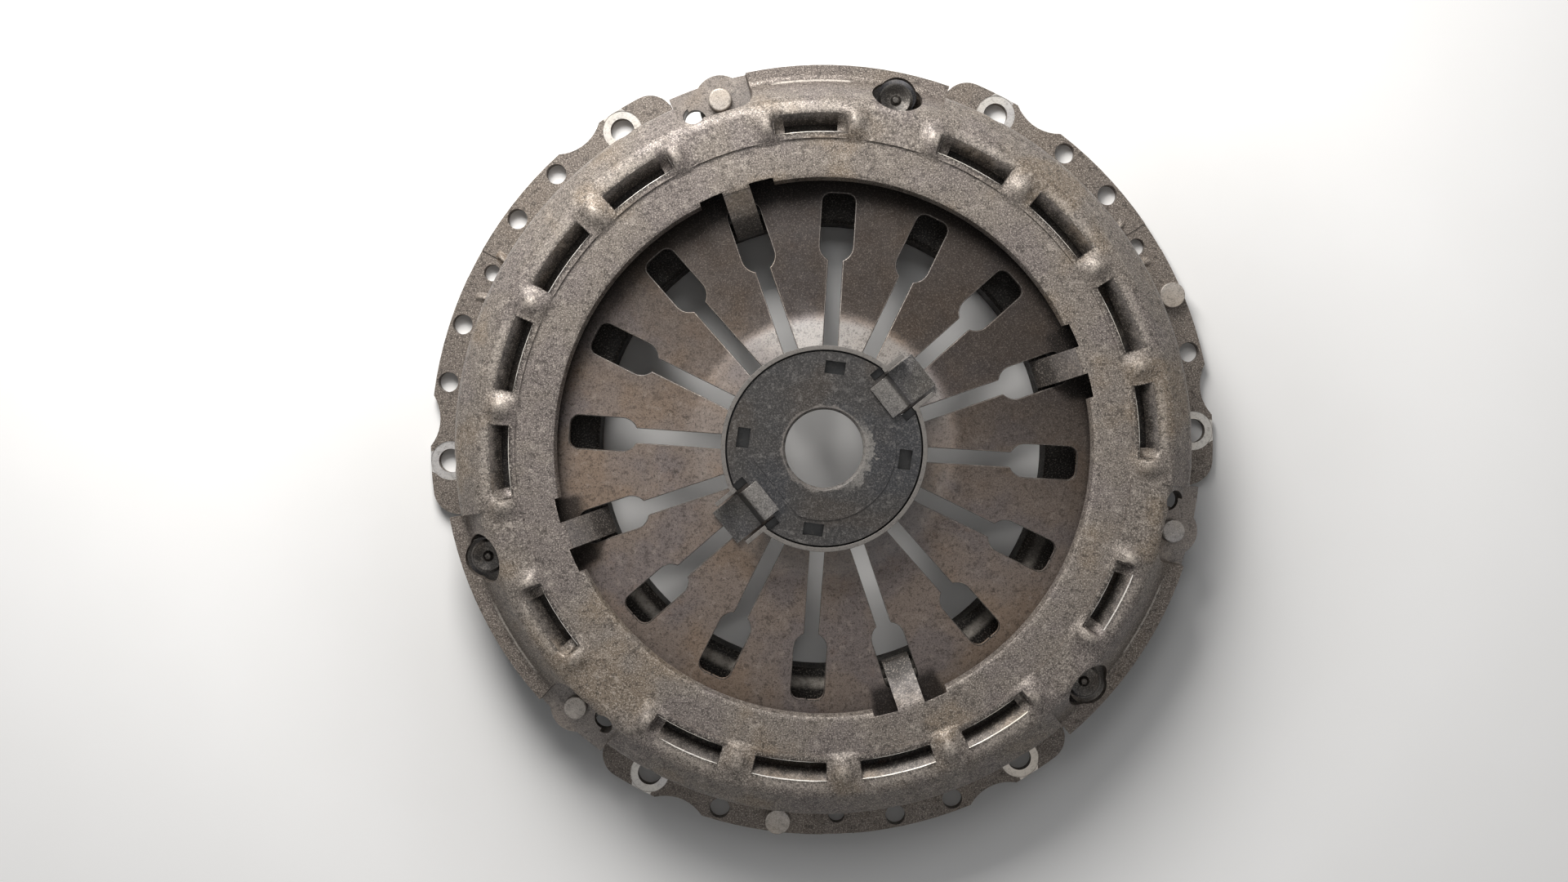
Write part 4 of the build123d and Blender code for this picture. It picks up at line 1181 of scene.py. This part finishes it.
@dataclass
class Studio:
    """Pale floor, soft lamps and the camera.

    Floor sizes are metres. Each glow of the floor runs from one radius to another and from one strength
    to another. The camera's turn is in degrees and its shift in millimetres.
    """

    floor: Colour = tone(236, 235, 233)
    floor_weave: Colour = tone(240, 239, 238)
    floor_reach: float = 4.0
    floor_drop: float = 0.0002
    near_glow: tuple[float, float, float, float] = (0.128, 0.24, 0.0, 0.2)
    far_glow: tuple[float, float, float, float] = (0.3, 2.2, 0.0, 0.75)
    world_light: float = 0.12
    sensor: float = 36.0
    lens: float = 37.5
    camera_turn: tuple[float, float, float] = (1.33, -0.08, 0.31)
    camera_shift: tuple[float, float, float] = (13.6, -1.6, 593.1)

    def lay_floor(self) -> None:
        """Lay the floor that the cover rests on."""
        shape = bmesh.new()
        bmesh.ops.create_grid(shape, x_segments=1, y_segments=1, size=self.floor_reach)
        mesh = bpy.data.meshes.new("floor")
        shape.to_mesh(mesh)
        shape.free()
        floor = bpy.data.objects.new("floor", mesh)
        floor.location.z = -self.floor_drop
        bpy.context.scene.collection.objects.link(floor)
        bench = NodeBench("pale_floor")
        bench.shader.inputs["Roughness"].default_value = 0.9
        near = bench.ramp(bench.radius(), *self.near_glow)
        glow = bench.math("ADD", near, bench.ramp(bench.radius(), *self.far_glow))
        glow = bench.times(glow, seen_rays(bench.tree))
        bench.wire((1.0, 1.0, 1.0), bench.shader.inputs["Emission Color"])
        bench.wire(glow, bench.shader.inputs["Emission Strength"])
        weave = bench.noise(30.0, 2.0)
        bench.wire(bench.mix(weave, self.floor, self.floor_weave), bench.shader.inputs["Base Color"])
        mesh.materials.append(bench.material)

    def lamp(self, name: str, place: Vector, size: float, power: float, colour: Colour = (1.0, 1.0, 1.0)) -> None:
        """Hang a square soft lamp that faces the clutch.

        Args:
            name: Name of the lamp.
            place: Where it hangs, in metres.
            size: Its side, in metres.
            power: Its power in watts.
            colour: Its linear colour.
        """
        data = bpy.data.lights.new(name, "AREA")
        data.shape = "SQUARE"
        data.size = size
        data.energy = power
        data.color = colour
        lamp = bpy.data.objects.new(name, data)
        lamp.location = place
        lamp.rotation_euler = (-place).to_track_quat("-Z", "Y").to_euler()
        bpy.context.scene.collection.objects.link(lamp)

    def light(self) -> None:
        """Hang the lamps and set the world's light."""
        self.lamp("key_lamp", Vector((-0.14, 0.4, 0.32)), 0.24, 4.0, (1.0, 0.985, 0.965))
        self.lamp("sheen_lamp", Vector((0.0, 0.43, 0.7)), 0.26, 0.8)
        self.lamp("front_lamp", Vector((-0.012, 0.02, 0.72)), 0.2, 0.1)
        world = bpy.data.worlds.new("studio")
        world.use_nodes = True
        tree = world.node_tree
        back = tree.nodes["Background"]
        back.inputs["Color"].default_value = (0.96, 0.98, 1.0, 1.0)
        back.inputs["Strength"].default_value = self.world_light
        white = tree.nodes.new("ShaderNodeBackground")
        white.inputs["Color"].default_value = (1.0, 1.0, 1.0, 1.0)
        white.inputs["Strength"].default_value = 1.0
        seen = tree.nodes.new("ShaderNodeMixShader")
        tree.links.new(seen_rays(tree), seen.inputs[0])
        tree.links.new(back.outputs["Background"], seen.inputs[1])
        tree.links.new(white.outputs["Background"], seen.inputs[2])
        tree.links.new(seen.outputs["Shader"], tree.nodes["World Output"].inputs["Surface"])
        bpy.context.scene.world = world

    def aim(self) -> None:
        """Set the camera above the clutch."""
        turn = Matrix.Identity(3)
        for angle, axis in zip(self.camera_turn, "XYZ"):
            turn = turn @ Matrix.Rotation(math.radians(angle), 3, axis)
        shift = Vector((self.camera_shift[0], self.camera_shift[1], -self.camera_shift[2])) * MM
        back = turn.transposed()
        data = bpy.data.cameras.new("camera")
        data.lens = self.lens
        data.sensor_width = self.sensor
        camera = bpy.data.objects.new("camera", data)
        camera.matrix_world = Matrix.Translation(-(back @ shift)) @ back.to_4x4()
        bpy.context.scene.collection.objects.link(camera)
        bpy.context.scene.camera = camera

    def build(self) -> None:
        """Set up the whole studio."""
        self.lay_floor()
        self.light()
        self.aim()


def main() -> None:
    """Build the studio and every piece."""
    logging.basicConfig(level=logging.INFO, format="%(name)s: %(message)s")
    FRAME.update(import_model())
    scene = bpy.context.scene
    scene.view_settings.view_transform = "Standard"
    for finish in ALL_FINISHES:
        FINISHES[finish.name] = finish.build()
    Studio().build()
    PressedCover().build()
    RIDGE_DOMES.build()
    FLANGE_STAKES.build()
    DiaphragmSpring().build()
    LeafPacks().build()
    AdjusterCoils().build()
    for dressing in (
        Dressing("pressure_plate", Body.PLATE, "grey_iron", (IRON, MACHINED, IRON), 0.4, choose=plate_face),
        Dressing("adjuster_ring", Body.RING, "ring_steel", (RING,), 0.2),
        Dressing("sensor_spring", Body.COVER, "sensor_steel", (SENSOR,), 0.15),
        Dressing("thrust_plate", Body.RELEASE, "thrust_steel", (DISC, DISC_EDGE), 0.3, choose=disc_face),
        Dressing("retainer_cup", Body.RELEASE, "thrust_steel", (CUP,), 0.2),
        Dressing("spring_clip_1", Body.RELEASE, "clip_steel", (CLIP, CLIP_EDGE), 0.2),
        Dressing("spring_clip_2", Body.RELEASE, "clip_steel", (CLIP, CLIP_EDGE), 0.2),
        Dressing("strap_rivets", Body.COVER, "rivet_steel", (RIVET,), 0.25),
        Dressing("lug_rivets", Body.PLATE, "rivet_steel", (LUG_RIVET,), 0.2),
        Dressing("balance_rivets", Body.COVER, "rivet_steel", (RIVET,), 0.3),
    ):
        dressing.build()


if __name__ == "__main__":
    main()
